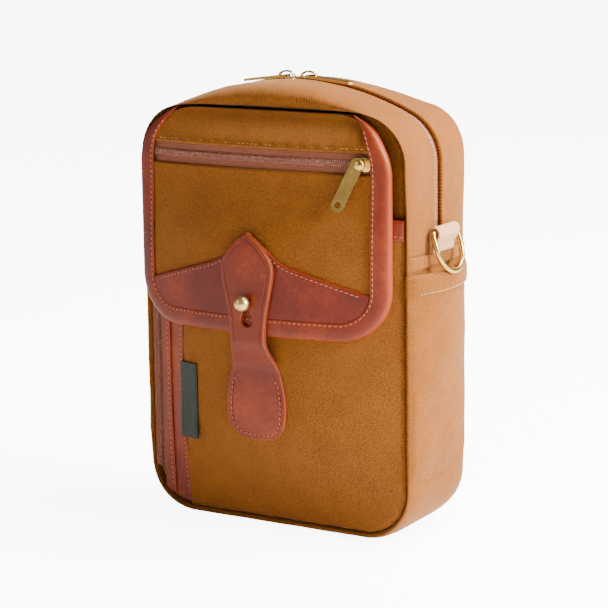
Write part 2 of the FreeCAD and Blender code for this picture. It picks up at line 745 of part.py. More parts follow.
def make_sides():
    cloth, hem = size("side_cloth"), size("side_hem_thickness")
    hem_bottom = size("side_pocket_top") - size("side_hem_height")
    reach = size("side_pocket_width") / 2
    band_z = joint_z - size("band_height")
    band = block(half_width, half_width + size("band_thickness"), -reach, reach, band_z, joint_z)
    right = {
        "ring_tab": make_ring_tab(),
        "ring": make_ring(),
        "side_pocket": side_pocket_sheet(0, cloth, 0),
        "side_hem": side_pocket_sheet(cloth, cloth + hem, hem_bottom),
        "side_band": band,
    }
    for name, shape in right.items():
        feature(f"{name}_right", shape)
        feature(f"{name}_left", mirrored(shape))


# ---------------------------------------------------------------- front pocket


def make_front_pocket():
    cloth_edge = guard_edge + size("guard_width")
    binding_z = size("pocket_top") - size("pocket_binding_height")
    whole = pocket_layer(seam_outline(), 0, pocket_far)
    feature("front_pocket", inside_box(whole, x0=cloth_edge, z1=size("pocket_top")))
    feature("zip_guard", inside_box(whole, x0=guard_edge, x1=cloth_edge, z1=binding_z))
    welt = pocket_layer(seam_outline(), pocket_far, pocket_far + size("welt_thickness"))
    feature("guard_welt", inside_box(welt, x0=guard_edge, x1=guard_edge + size("welt_width"), z1=binding_z))
    trim = pocket_layer(seam_outline(), pocket_far, pocket_far + size("pocket_binding_thickness"))
    feature("pocket_binding", inside_box(trim, x0=cloth_edge, z0=binding_z, z1=size("pocket_top")))


def pocket_zip_levels():
    """Off the front panel: lower plate, tape, coil top, upper plate."""
    plate_t = size("small_plate")
    tape = clearance + plate_t + clearance
    coil = tape + size("small_tape") + size("small_coil")
    return tape, coil, coil + clearance


def make_pocket_zip():
    """A straight zip between the panel seam and the guard, clear of the panel for its slider."""
    tape, coil, upper = pocket_zip_levels()
    z0, z1 = size("pocket_zip_bottom"), size("pocket_zip_top")
    middle = -seam_half + size("pocket_zip_width") / 2
    gap = size("pocket_coil_spacing") / 2
    tape_top = tape + size("small_tape")
    coil_reach = gap + size("pocket_coil_width")
    for side, sign, edge in (("outer", -1, -seam_half), ("inner", 1, guard_edge)):
        xs = sorted((middle + sign * gap, edge))
        tape_strip = block(*xs, -panel_face - tape_top, -panel_face - tape, z0, z1)
        inside = tape_strip.common(prism(seam_outline(), -2 * half_depth, 0))
        feature(f"pocket_tape_{side}", only_solid(inside))
        xs = sorted((middle + sign * gap, middle + sign * coil_reach))
        feature(f"pocket_coil_{side}", block(*xs, -panel_face - coil, -panel_face - tape_top, z0, z1))


def make_pocket_slider():
    tape, coil, upper = pocket_zip_levels()
    plate_t, web = size("small_plate"), size("pocket_slider_blade") / 2
    middle = -seam_half + size("pocket_zip_width") / 2
    half = size("pocket_zip_width") / 2 - clearance
    z0 = size("pocket_slider_height")
    z1 = z0 + size("pocket_slider_length")
    low_y = -panel_face - clearance
    low = block(middle - half, middle + half, low_y - plate_t, low_y, z0, z1)
    high_y = -panel_face - upper
    high = block(middle - half, middle + half, high_y - plate_t, high_y, z0, z1)
    blade = block(middle - web, middle + web, high_y - plate_t, -panel_face - clearance, z0, z1)
    feature("pocket_slider", low.fuse([high, blade]).removeSplitter())
    reach = size("pocket_pull_width") / 2
    tip_z = z0 - size("pocket_pull_length") + reach
    pull = block(middle - reach, middle + reach, high_y - plate_t, high_y, tip_z, z0)
    tip = Part.makeCylinder(reach, plate_t, V(middle, high_y, tip_z), V(0, -1, 0))
    hole_start = V(middle, high_y + plate_t, tip_z)
    hole = Part.makeCylinder(size("pull_hole") / 3, 3 * plate_t, hole_start, V(0, -1, 0))
    feature("pocket_pull", only_solid(pull.fuse(tip).cut(hole).removeSplitter()))


def make_label():
    """A folded ribbon, a flat loop that stands out of the guard's edge."""
    x = guard_edge + size("guard_width")
    z = size("label_bottom")
    tall, reach = size("label_height"), size("label_reach")
    t, fold = size("label_ribbon"), size("label_fold")
    loop = block(0, reach, -fold, 0, 0, tall)
    loop = loop.makeFillet(0.45 * fold, [e for e in loop.Edges if vertical_at(e, reach)])
    room = block(-1, reach - t, t - fold, -t, -1, tall + 1)
    loop = loop.cut(room)
    loop.rotate(V(), V(0, 0, 1), -size("label_lean"))
    bow = pocket_front(x, z + tall / 2) - pocket_far
    loop.translate(V(x, bow, z))
    feature("label", loop)


def vertical_at(edge, x):
    a, b = (v.Point for v in edge.Vertexes)
    return abs(a.x - x) < 1e-6 and abs(b.x - x) < 1e-6 and abs(a.z - b.z) > 1


# ---------------------------------------------------------------- flap


def flap_outline(inset):
    half = flap_half - inset
    low_r = size("flap_corner_radius") - inset
    high_r = size("flap_shoulder_radius") - inset
    bottom, top = size("flap_bottom"), seam_top + size("flap_arch_rise")
    return rounded_outline(half, bottom + inset, top - inset, low_r, high_r)


def binding_inner_edge():
    """The binding's inner edge: it runs under the top seam before its shoulders close."""
    width = size("binding_width")
    bottom, top = size("flap_bottom") + width, seam_top + size("binding_arch_rise")
    low_r = size("flap_corner_radius") - width
    return rounded_outline(flap_half - width, bottom, top, low_r, size("binding_shoulder_radius"))


def yoke_region():
    """Below an edge that sweeps up from the binding to a peak in the middle."""
    half = flap_half
    low, peak = size("yoke_side_height"), size("yoke_middle_height")
    rise = peak - low
    inner = half - size("binding_width")
    right = [(0.12, 0.97), (0.3, 0.6), (0.62, 0.32), (1.0, 0.0)]
    points = [at(-x * inner, low + rise * z) for x, z in reversed(right)]
    points.append(at(0, peak))
    points += [at(x * inner, low + rise * z) for x, z in right]
    edge = Part.BSplineCurve()
    edge.interpolate(points)
    bottom = size("flap_bottom") - 1
    ends = [at(inner, low), at(half, low), at(half, bottom)]
    ends += [at(-half, bottom), at(-half, low), at(-inner, low)]
    return Part.Wire([edge.toShape()] + Part.makePolygon(ends).Edges)


def shank_hole():
    radius = size("stud_shank") / 2 + size("shank_clearance")
    return Part.makeCylinder(radius, 4 * half_depth, V(0, 0, size("stud_height")), V(0, -1, 0))


def make_flap_cloth():
    rim = size("binding_rim")
    hole = shank_hole()
    backing = flap_layer(flap_outline(rim), backing_near, backing_far).cut(hole)
    flap_feature("flap_backing", inside_box(backing, z1=flap_top))
    cloth = flap_layer(flap_outline(rim), cloth_near, cloth_far)
    flap_feature("flap_cloth_upper", inside_box(cloth, z0=window_high, z1=flap_top))
    flap_feature("flap_cloth_lower", inside_box(cloth.cut(hole), z1=window_low))


def make_flap_leather():
    inner = binding_inner_edge()
    rim = flap_layer(flap_outline(0), backing_near, cloth_far)
    rim = rim.cut(prism(flap_outline(size("binding_rim")), -4 * half_depth, 0))
    face = flap_layer(flap_outline(0), cloth_far, leather_far).cut(prism(inner, -4 * half_depth, 0))
    flap_feature("flap_binding", inside_box(rim.fuse(face), z1=flap_top))
    yoke = flap_layer(inner, cloth_far, leather_far).common(prism(yoke_region(), -4 * half_depth, 0))
    flap_feature("flap_yoke", only_solid(yoke.cut(shank_hole())))


def flap_zip_levels():
    """Off the flap's surface: tape, top of the tape, top of the coil."""
    tape = cloth_near - clearance
    tape_top = tape + size("small_tape")
    return tape, tape_top, tape_top + size("small_coil")


def zip_arc():
    """Y of the axis that the flap's zip bends round, and the radius of the surface under it."""
    reach, bulge = flap_half, size("zip_shelf")
    radius = (reach**2 + bulge**2) / (2 * bulge)
    return radius - bulge - panel_face, radius


def arc_strip(near, far, reach, low, high):
    """A strip that follows the zip's arc between two heights, inside the flap's rim."""
    centre, radius = zip_arc()
    ring = Part.makeCylinder(radius + far, high - low, V(0, centre, low))
    ring = ring.cut(Part.makeCylinder(radius + near, high - low, V(0, centre, low)))
    ring = ring.common(block(-reach, reach, -4 * half_depth, 0, low, high))
    return ring.common(prism(flap_outline(size("binding_rim")), -4 * half_depth, 0))


def make_flap_zip():
    tape, tape_top, coil_top = flap_zip_levels()
    z0, z1 = window_low, window_high
    middle = (z0 + z1) / 2
    gap = size("coil_spacing") / 2
    reach = flap_half
    for side, low, high in (("lower", z0, middle - gap), ("upper", middle + gap, z1)):
        flap_feature(f"flap_tape_{side}", arc_strip(tape, tape_top, reach, low, high))
    wide = gap + size("flap_coil_width")
    reach -= size("binding_width") + size("flap_coil_end")
    for side, low, high in (("lower", middle - wide, middle - gap), ("upper", middle + gap, middle + wide)):
        flap_feature(f"flap_coil_{side}", arc_strip(tape_top, coil_top, reach, low, high))


def along_flap_zip(shape):
    """Carries a piece from the middle of the flap's zip round its arc to the closed end."""
    centre, radius = zip_arc()
    turn = math.degrees(math.asin(size("flap_slider_offset") / radius))
    shape.rotate(V(0, centre, 0), V(0, 0, 1), turn)
    return shape


def make_flap_slider():
    """Two plates with the coils between them, and a capped post for the pull."""
    tape, tape_top, coil_top = flap_zip_levels()
    shelf = -panel_face - size("zip_shelf")
    z = (window_low + window_high) / 2
    long, wide = size("flap_slider_length") / 2, size("flap_slider_width") / 2
    t = size("small_plate")
    web = size("coil_spacing") / 2 - clearance
    high = shelf - coil_top - clearance
    low = shelf - tape + clearance
    face = high - t
    forward = V(0, -1, 0)
    upper = block(-long, long, face, high, z - wide, z + wide)
    lower = block(-long, long, low, low + t, z - wide, z + wide)
    blade = block(-long, long, face, low + t, z - web, z + web)
    post = Part.makeCylinder(size("post_radius"), size("post_height"), V(0, face, z), forward)
    cap_foot = V(0, face - size("post_height"), z)
    cap_radius = size("cap_radius")
    cap = Part.makeCone(cap_radius, 0.55 * cap_radius, size("cap_height"), cap_foot, forward)
    slider = upper.fuse([lower, blade, post, cap]).removeSplitter()
    flap_feature("flap_slider", along_flap_zip(slider))
    thick, half = size("pull_thickness"), size("flap_pull_width") / 2
    pivot = V(0, face - size("post_height") / 2, z)
    tip = pivot - V(0, 0, size("pull_length") - half)
    back = V(0, thick / 2, 0)
    shank = block(-half, half, pivot.y - thick / 2, pivot.y + thick / 2, tip.z, z)
    ends = [Part.makeCylinder(half, thick, end + back, forward) for end in (pivot, tip)]
    eye_radius = size("post_radius") + size("post_clearance")
    eye = Part.makeCylinder(eye_radius, 3 * thick, pivot + 2 * back, forward)
    hole = Part.makeCylinder(size("pull_hole") / 2, 3 * thick, tip + 2 * back, forward)
    pull = shank.fuse(ends).cut(eye).cut(hole).removeSplitter()
    pull.rotate(pivot, V(0, 1, 0), size("flap_pull_swing"))
    pull.rotate(pivot, V(1, 0, 0), -size("flap_pull_tilt"))
    flap_feature("flap_pull", along_flap_zip(pull))


def make_stud():
    """A ball on a neck, turned about the shank, and the screw that holds it from inside."""
    x, z = "sizes.flap_offset", "sizes.stud_height"
    face = flap_front(0, size("stud_height"))
    ball = size("stud_ball") / 2
    neck_length = size("tab_clearance") + size("tab_leather") + clearance
    across = V(0, -1, 0)
    start = str(face - leather_far)
    back = str(face - backing_near)
    through = str(leather_far - backing_near)
    inner = cylinder("stud_shank", "sizes.stud_shank / 2", through, x, back, z, across)
    neck = cylinder("stud_neck", "sizes.stud_neck / 2", str(neck_length), x, start, z, across)
    head = doc.addObject("Part::Sphere", "stud_head")
    centre = math.sqrt(ball**2 - (size("stud_neck") / 2) ** 2)
    head_y = f"{face - leather_far - neck_length - centre}"
    bind(head, Radius="sizes.stud_ball / 2")
    bind(head, Placement__Base__x=x, Placement__Base__y=head_y, Placement__Base__z=z)
    keep(fuse("stud", inner, neck, head), "stud")
    screw_back = str(face - backing_near + size("screw_head_height") + size("screw_seat"))
    screw_size = ("sizes.screw_head / 2", "sizes.screw_head_height")
    screw = cylinder("stud_screw", *screw_size, x, screw_back, z, across)
    keep(screw, "stud_screw")


# ---------------------------------------------------------------- tab


def tab_outline():
    """A leaf above, a waist at the flap's edge and a round bulb below."""
    leaf, waist, bulb = (size(f"tab_{n}_width") / 2 for n in ("leaf", "waist", "bulb"))
    top, bottom, waist_z = size("tab_top"), size("tab_bottom"), size("flap_bottom")
    above, below = top - waist_z, waist_z - bottom
    right = [
        (0, top),
        (0.52 * leaf, top - 0.11 * above),
        (0.9 * leaf, top - 0.25 * above),
        (leaf, top - 0.38 * above),
        (0.86 * leaf, top - 0.6 * above),
        (1.09 * waist, top - 0.8 * above),
        (waist, waist_z),
        (0.62 * bulb, waist_z - 0.14 * below),
        (0.81 * bulb, waist_z - 0.34 * below),
        (0.96 * bulb, waist_z - 0.53 * below),
        (bulb, waist_z - 0.7 * below),
        (0.9 * bulb, waist_z - 0.87 * below),
        (0.56 * bulb, waist_z - 0.975 * below),
        (0, bottom),
    ]
    edges = []
    for sign in (1, -1):
        curve = Part.BSplineCurve()
        curve.interpolate([at(sign * x, z) for x, z in right])
        edges.append(curve.toShape())
    return Part.Wire(edges)


def tab_surface(_x, z):
    """Flat across: it lies on the pocket, then climbs over the flap's edge and follows the flap."""
    start, end = size("tab_fold_height"), size("flap_bottom") - 2
    climb = smooth((z - start) / (end - start))
    low = pocket_front((seam_half + guard_edge) / 2, z) - pocket_far
    high = flap_front(0, z) - tongue_near
    return low + (high - low) * climb


def keyhole():
    """A round hole for the neck that opens downwards into a slit with a rounded foot."""
    z, foot, drop = size("stud_height"), size("keyhole_foot"), size("keyhole_drop")
    depth = 4 * half_depth
    round_part = Part.makeCylinder(size("keyhole") / 2, depth, V(0, 0, z), V(0, -1, 0))
    foot_part = Part.makeCylinder(foot, depth, V(0, 0, z - drop), V(0, -1, 0))
    corners = [at(0, z), at(foot, z - drop), at(-foot, z - drop), at(0, z)]
    return round_part.fuse([foot_part, prism(Part.makePolygon(corners), -depth, 0)])


def make_tab():
    margin = 4
    reach = size("tab_bulb_width") / 2 + margin
    xs = spread(-reach, reach, 5)
    zs = spread(size("tab_bottom") - margin, size("tab_top") + margin, 33)
    slab = sheet_solid(tab_surface, xs, zs, 0, size("tab_leather"))
    tab = slab.common(prism(tab_outline(), -4 * half_depth, 0))
    fold = size("tab_fold_height")
    flap_feature("tab_anchor", inside_box(tab, z1=fold))
    flap_feature("tab_tongue", inside_box(tab.cut(keyhole()), z0=fold + size("tab_split")))


# ---------------------------------------------------------------- belt loop


def make_belt_loop():
    """Webbing down the back, sewn at both ends and standing off between them."""
    t, gap, slope = size("belt_loop_webbing"), size("belt_loop_gap"), size("belt_loop_slope")
    low, high, sewn = size("belt_loop_bottom"), size("belt_loop_top"), size("belt_loop_sewn")
    y = panel_face
    inner = [(y, low), (y, low + sewn), (y + gap, low + sewn + slope)]
    inner += [(y + gap, high - sewn - slope), (y, high - sewn), (y, high)]
    outer = [(y + t, high), (y + t, high - sewn), (y + gap + t, high - sewn - slope + t / 2)]
    outer += [(y + gap + t, low + sewn + slope - t / 2), (y + t, low + sewn), (y + t, low)]
    half = size("belt_loop_width") / 2
    corners = [V(-half, a, b) for a, b in inner + outer]
    face = Part.Face(Part.makePolygon(corners + corners[:1]))
    feature("belt_loop", face.extrude(V(2 * half, 0, 0)))


def check_and_export():
    """Recomputes, refuses a failed or empty object, and writes each sub-part."""
    doc.recompute()
    for obj in doc.Objects:
        if "Invalid" in obj.State or "Error" in obj.State:
            raise RuntimeError(f"{obj.Label} failed: {obj.State}")
    os.makedirs("parts", exist_ok=True)
    for obj in parts:
        shape = obj.Shape
        if shape.isNull() or not shape.isValid() or not shape.Solids:
            raise RuntimeError(f"{obj.Label} has no valid solid")
        shape.exportStep(f"parts/{obj.Label}.step")
    print(f"{len(parts)} sub-parts written")


make_shell()
make_panels()
make_inside()
make_main_zip()
make_main_sliders()
make_sides()
make_front_pocket()
make_pocket_zip()
make_pocket_slider()
make_label()
make_flap_cloth()
make_flap_leather()
make_flap_zip()
make_flap_slider()
make_stud()
make_tab()
make_belt_loop()
check_and_export()
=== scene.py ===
"""A canvas and leather field pouch, finished round its fixed frame.

Lengths in the code are metres; mm turns millimetres into them. The pouch stands on its base, X across,
Z up, its front facing -Y. Cloth, leather and fittings are grids worked out with whole arrays: a piece is
a function of two parameters, laid over one of the pouch's curved faces, with a wall behind it.
"""

import json
import math

import bpy
import numpy as np
from mathutils import Matrix, Vector


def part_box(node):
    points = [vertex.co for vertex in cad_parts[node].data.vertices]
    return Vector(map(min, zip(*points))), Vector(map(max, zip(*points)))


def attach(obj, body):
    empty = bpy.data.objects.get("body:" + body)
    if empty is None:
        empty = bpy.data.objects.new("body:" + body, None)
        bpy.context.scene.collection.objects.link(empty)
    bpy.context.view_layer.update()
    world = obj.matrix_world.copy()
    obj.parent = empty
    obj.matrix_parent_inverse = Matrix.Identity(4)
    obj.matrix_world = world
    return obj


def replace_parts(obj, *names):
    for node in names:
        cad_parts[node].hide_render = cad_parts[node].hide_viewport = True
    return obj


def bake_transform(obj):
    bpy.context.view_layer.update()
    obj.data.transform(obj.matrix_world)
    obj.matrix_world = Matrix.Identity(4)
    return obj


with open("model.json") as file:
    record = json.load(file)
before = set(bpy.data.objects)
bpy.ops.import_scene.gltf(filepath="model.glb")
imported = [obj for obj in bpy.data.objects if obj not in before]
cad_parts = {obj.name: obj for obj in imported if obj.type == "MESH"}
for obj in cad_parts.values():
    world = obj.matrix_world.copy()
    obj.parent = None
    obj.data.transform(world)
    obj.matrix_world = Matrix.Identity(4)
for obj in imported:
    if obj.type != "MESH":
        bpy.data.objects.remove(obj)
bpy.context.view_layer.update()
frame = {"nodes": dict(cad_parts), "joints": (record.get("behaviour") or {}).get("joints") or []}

mm = 0.001
TAU = 2 * math.pi


def corners(node):
    low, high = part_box(node)
    return np.array(low), np.array(high)


def joint_place(name):
    """Where a joint's axis passes."""
    return next(joint for joint in frame["joints"] if joint["name"] == name)["pos_m"]


# ------------------------------------------------------------ places, read from the frame
shell_high = corners("lower_gusset")[1]
half_width = shell_high[0]
joint_z = shell_high[2]
crown_z = corners("upper_gusset_front")[1][2]
panel_low, panel_high = corners("front_panel")
seam_half = panel_high[0]
seam_bottom = panel_low[2]
seam_top = panel_high[2]
panel_face = -panel_low[1]
pocket_top = corners("front_pocket")[1][2]
guard_low, guard_high = corners("zip_guard")
guard_edge = guard_low[0]
guard_end = guard_high[0]
flap_low, flap_high = corners("flap_binding")
flap_x = (flap_low[0] + flap_high[0]) / 2
flap_reach = (flap_high[0] - flap_low[0]) / 2
flap_bottom = flap_low[2]
flap_top = flap_high[2]
window_low = corners("flap_cloth_lower")[1][2]
window_high = corners("flap_cloth_upper")[0][2]
anchor_low, anchor_high = corners("tab_anchor")
tongue_low, tongue_high = corners("tab_tongue")
tab_low = anchor_low[2]
tab_fold = anchor_high[2]
tab_tip = tongue_high[2]
bulb_half = (anchor_high[0] - anchor_low[0]) / 2
leaf_half = (tongue_high[0] - tongue_low[0]) / 2
stud_low, stud_high = corners("stud")
stud_z = (stud_low[2] + stud_high[2]) / 2
fold_z = joint_place("flap_fold")[2]

# ------------------------------------------------------------ sizes of the pouch's form
crown_radius = 160 * mm
crown_centre = crown_z - crown_radius
shoulder_radius = 30 * mm
foot_radius = 30 * mm
seam_radius = 26 * mm
zip_half_gap = 4.5 * mm
tape_width = 11.4 * mm

front_bulge = 15.4 * mm
flap_bulge = 14 * mm
bulge_rise = 62 * mm
fade_start = 158 * mm
zip_shelf = 7 * mm
shelf_margin = 2 * mm

# Layers of the front, near and far off the surface that they lie over.
pocket_far = 1.6 * mm
backing_near = 4.8 * mm
backing_far = 5.6 * mm
cloth_near = 7.4 * mm
cloth_far = 8.8 * mm
leather_far = 10.3 * mm
tongue_near = 10.7 * mm
tab_leather = 2.4 * mm


# ------------------------------------------------------------ arrays and meshes
def smooth(t):
    t = np.clip(t, 0, 1)
    return t * t * (3 - 2 * t)


def dense(count, edge=0.0):
    """0 to 1 in even steps, with extra lines close to both ends; edge is the rounded share of the run."""
    lines = np.linspace(edge, 1 - edge, count)
    near = np.array([0.0, 0.12, 0.35, 0.7]) * edge
    return np.unique(np.concatenate([near, lines, 1 - near]).round(9)) if edge else lines


def unit(ways):
    return ways / np.linalg.norm(ways, axis=-1, keepdims=True)


def run_along(line):
    """The length along a line of points, up to each of them."""
    return np.concatenate([[0], np.cumsum(np.linalg.norm(np.diff(line, axis=0), axis=1))])


def crossed(across, along):
    """A flat place for each point of a grid: across by its column, along by its row."""
    return np.stack(np.broadcast_arrays(across[None, :], along[:, None]), -1)


def grid_of(z, x):
    """Heights spread over the grid of x, one for each row."""
    return np.broadcast_to(z[:, None], x.shape)


def squared(a, power):
    """The power of a cosine or sine with its sign kept: below 1 it squares a circle up."""
    return np.sign(a) * np.abs(a) ** power


def put_in(name, data):
    """An object in the scene with the given data."""
    made = bpy.data.objects.new(name, data)
    bpy.context.scene.collection.objects.link(made)
    return made


def mesh_object(name, verts, faces, uv=None, material=None):
    """A mesh from vertex and quad arrays, with a UV per vertex in metres."""
    mesh = bpy.data.meshes.new(name)
    faces = np.asarray(faces, np.int32)
    sides = faces.shape[1]
    mesh.vertices.add(len(verts))
    mesh.vertices.foreach_set("co", np.asarray(verts, np.float32).ravel())
    mesh.loops.add(faces.size)
    mesh.loops.foreach_set("vertex_index", faces.ravel())
    mesh.polygons.add(len(faces))
    mesh.polygons.foreach_set("loop_start", np.arange(0, faces.size, sides, dtype=np.int32))
    mesh.polygons.foreach_set("use_smooth", np.ones(len(faces), bool))
    mesh.update(calc_edges=True)
    if uv is not None:
        layer = mesh.uv_layers.new(name="cloth")
        layer.data.foreach_set("uv", np.asarray(uv, np.float32)[faces.ravel()].ravel())
    mesh.validate()
    if material is not None:
        mesh.materials.append(material)
    return put_in(name, mesh)


def grid_faces(rows, columns, close_rows=False, close_columns=False, start=0):
    """Quads of a grid; closing joins the last row or column to the first."""
    i = np.arange(rows if close_rows else rows - 1)
    j = np.arange(columns if close_columns else columns - 1)
    i, j = np.meshgrid(i, j, indexing="ij")
    i2, j2 = (i + 1) % rows, (j + 1) % columns
    quad = np.stack([i * columns + j, i2 * columns + j, i2 * columns + j2, i * columns + j2], -1)
    return quad.reshape(-1, 4) + start


def closed_slab(name, front, back, uv, material):
    """Two grids of points, front and back, with a rim between their borders: a closed wall.

    The front's border and the back's border are joined by one ring of quads.
    """
    rows, columns = front.shape[:2]
    count = rows * columns
    verts = np.concatenate([front.reshape(-1, 3), back.reshape(-1, 3)])
    faces = [grid_faces(rows, columns), grid_faces(rows, columns, start=count)[:, ::-1]]
    index = np.arange(count).reshape(rows, columns)
    ring = np.concatenate([index[0, :-1], index[:-1, -1], index[-1, :0:-1], index[:0:-1, 0]])
    after = np.roll(ring, -1)
    faces.append(np.stack([ring, after, after + count, ring + count], -1))
    uvs = np.concatenate([uv.reshape(-1, 2)] * 2)
    made = mesh_object(name, verts, np.concatenate(faces), uvs, material)
    return outward(made)


def outward(made):
    """Turns every face out, by the sign of the closed mesh's volume."""
    mesh = made.data
    mesh.calc_loop_triangles()
    co = np.empty(len(mesh.vertices) * 3)
    mesh.vertices.foreach_get("co", co)
    tri = np.empty(len(mesh.loop_triangles) * 3, np.int32)
    mesh.loop_triangles.foreach_get("vertices", tri)
    a, b, c = co.reshape(-1, 3)[tri.reshape(-1, 3)].transpose(1, 0, 2)
    if np.einsum("ij,ij->", a, np.cross(b, c)) < 0:
        mesh.flip_normals()
    return made


# ------------------------------------------------------------ materials
def shader(name, roughness, metallic=0.0):
    """A new material with its node tree, and its main shader."""
    made = bpy.data.materials.new(name)
    made.use_nodes = True
    main = made.node_tree.nodes["Principled BSDF"]
    main.inputs["Roughness"].default_value = roughness
    main.inputs["Metallic"].default_value = metallic
    return made, made.node_tree, main


def add(tree, kind, **settings):
    """A node; settings name its properties, or its inputs by place as in_0, in_1."""
    node = tree.nodes.new(kind)
    for name, value in settings.items():
        if name.startswith("in_"):
            node.inputs[int(name[3:])].default_value = value
        else:
            setattr(node, name, value)
    return node


def wire(tree, source, target):
    tree.links.new(source, target)


def object_place(tree):
    return add(tree, "ShaderNodeTexCoord").outputs["Object"]


def cloth_place(tree):
    return add(tree, "ShaderNodeUVMap", uv_map="cloth").outputs["UV"]


def noise(tree, place, scale, detail=2.0, rough=0.5):
    node = add(tree, "ShaderNodeTexNoise")
    node.inputs["Scale"].default_value = scale
    node.inputs["Detail"].default_value = detail
    node.inputs["Roughness"].default_value = rough
    wire(tree, place, node.inputs["Vector"])
    return node.outputs["Fac"]


def calc(tree, operation, a, b=0.0):
    node = add(tree, "ShaderNodeMath", operation=operation)
    for socket, value in zip(node.inputs, (a, b)):
        if isinstance(value, (int, float)):
            socket.default_value = value
        else:
            wire(tree, value, socket)
    return node.outputs[0]


def weighed(tree, *parts):
    """The sum of some values, each times its weight."""
    total = None
    for value, weight in parts:
        part = calc(tree, "MULTIPLY", value, weight)
        total = part if total is None else calc(tree, "ADD", total, part)
    return total


def ramp(tree, value, stops):
    """Colours along a value; stops are (place, colour)."""
    node = add(tree, "ShaderNodeValToRGB")
    elements = node.color_ramp.elements
    while len(elements) < len(stops):
        elements.new(0.5)
    for element, (place, colour) in zip(elements, stops):
        element.position = place
        element.color = (*colour, 1)
    wire(tree, value, node.inputs[0])
    return node.outputs[0]


def mixed(tree, share, first, second):
    node = add(tree, "ShaderNodeMix", data_type="RGBA", blend_type="MIX")
    for socket, value in ((0, share), (6, first), (7, second)):
        if isinstance(value, (int, float)):
            node.inputs[socket].default_value = value
        elif isinstance(value, tuple):
            node.inputs[socket].default_value = (*value, 1)
        else:
            wire(tree, value, node.inputs[socket])
    return node.outputs[2]


def bump(tree, main, height, distance, strength=1.0):
    node = add(tree, "ShaderNodeBump")
    node.inputs["Strength"].default_value = strength
    node.inputs["Distance"].default_value = distance
    wire(tree, height, node.inputs["Height"])
    wire(tree, node.outputs[0], main.inputs["Normal"])


def linear(r, g, b):
    """A linear colour from one given as it looks, 0 to 255."""
    return tuple((c / 255) ** 2.2 for c in (r, g, b))


def stripes(tree, x, y, across, along, pitch):
    """Even waves, 0 to 1, along the direction (across, along) of a flat place."""
    run = weighed(tree, (x, across), (y, along))
    wave = calc(tree, "SINE", calc(tree, "MULTIPLY", run, TAU / pitch))
    return calc(tree, "ADD", calc(tree, "MULTIPLY", wave, 0.5), 0.5)


def weave_parts(tree, place):
    node = add(tree, "ShaderNodeSeparateXYZ")
    wire(tree, place, node.inputs[0])
    return node.outputs[0], node.outputs[1]


def twill(name, dark, light, pitch=1.0 * mm):
    """Twill canvas: fine diagonal wales broken by the weft, uneven dye and a soft sheen."""
    made, tree, main = shader(name, 0.8)
    place = cloth_place(tree)
    x, y = weave_parts(tree, place)
    wale = stripes(tree, x, y, 0.84, -0.54, pitch)
    weft = stripes(tree, x, y, 0.54, 0.84, pitch * 0.66)
    yarn = noise(tree, place, 800, 2.0)
    patch = noise(tree, place, 12, 3.0)
    blotch = noise(tree, place, 70, 3.0)
    weave = weighed(tree, (wale, 0.68), (weft, 0.32))
    shade = weighed(tree, (weave, 0.3), (yarn, 0.4), (patch, 0.16), (blotch, 0.14))
    wire(tree, ramp(tree, shade, ((0.28, dark), (0.76, light))), main.inputs["Base Color"])
    main.inputs["Sheen Weight"].default_value = 0.2
    main.inputs["Sheen Roughness"].default_value = 0.4
    main.inputs["Sheen Tint"].default_value = (1.0, 0.72, 0.42, 1)
    main.inputs["Specular IOR Level"].default_value = 0.15
    bump(tree, main, calc(tree, "ADD", weave, calc(tree, "MULTIPLY", yarn, 0.6)), 0.16 * mm, 0.7)
    return made


def hide(name, dark, mid, light, roughness=0.42):
    """Bridle leather: fine grain and pores, cloudy dye, and a lighter worn edge by the wear attribute."""
    made, tree, main = shader(name, roughness)
    place = object_place(tree)
    cloud = noise(tree, place, 28, 4.0, 0.6)
    fine = noise(tree, place, 420, 3.0, 0.6)
    cells = add(tree, "ShaderNodeTexVoronoi", feature="DISTANCE_TO_EDGE")
    cells.inputs["Scale"].default_value = 1150
    wire(tree, place, cells.inputs["Vector"])
    grain = calc(tree, "MINIMUM", calc(tree, "MULTIPLY", cells.outputs["Distance"], 3.0), 1.0)
    tone = weighed(tree, (cloud, 0.75), (fine, 0.25))
    colour = ramp(tree, tone, ((0.32, dark), (0.5, mid), (0.68, light)))
    wear = add(tree, "ShaderNodeAttribute", attribute_name="wear").outputs["Fac"]
    colour = mixed(tree, calc(tree, "MULTIPLY", wear, 0.8), colour, light)
    crease = add(tree, "ShaderNodeAttribute", attribute_name="crease").outputs["Fac"]
    colour = mixed(tree, calc(tree, "MULTIPLY", crease, 0.7), colour, dark)
    wire(tree, colour, main.inputs["Base Color"])
    rough = calc(tree, "ADD", calc(tree, "MULTIPLY", cloud, 0.3), roughness - 0.14)
    wire(tree, rough, main.inputs["Roughness"])
    main.inputs["Specular IOR Level"].default_value = 0.28
    main.inputs["Coat Weight"].default_value = 0.06
    main.inputs["Coat Roughness"].default_value = 0.35
    bump(tree, main, calc(tree, "ADD", grain, calc(tree, "MULTIPLY", fine, 0.8)), 0.05 * mm, 0.55)
    return made


def brass_finish(name, colour, roughness=0.24):
    """Lacquered brass: a warm metal with faint handling marks."""
    made, tree, main = shader(name, roughness, 1.0)
    place = object_place(tree)
    marks = noise(tree, place, 260, 4.0, 0.65)
    smear = noise(tree, place, 60, 3.0)
    deep = tuple(c * 0.72 for c in colour)
    wire(tree, ramp(tree, smear, ((0.3, deep), (0.7, colour))), main.inputs["Base Color"])
    rough = calc(tree, "ADD", calc(tree, "MULTIPLY", marks, 0.22), roughness - 0.1)
    wire(tree, rough, main.inputs["Roughness"])
    bump(tree, main, marks, 0.03 * mm, 0.35)
    return made


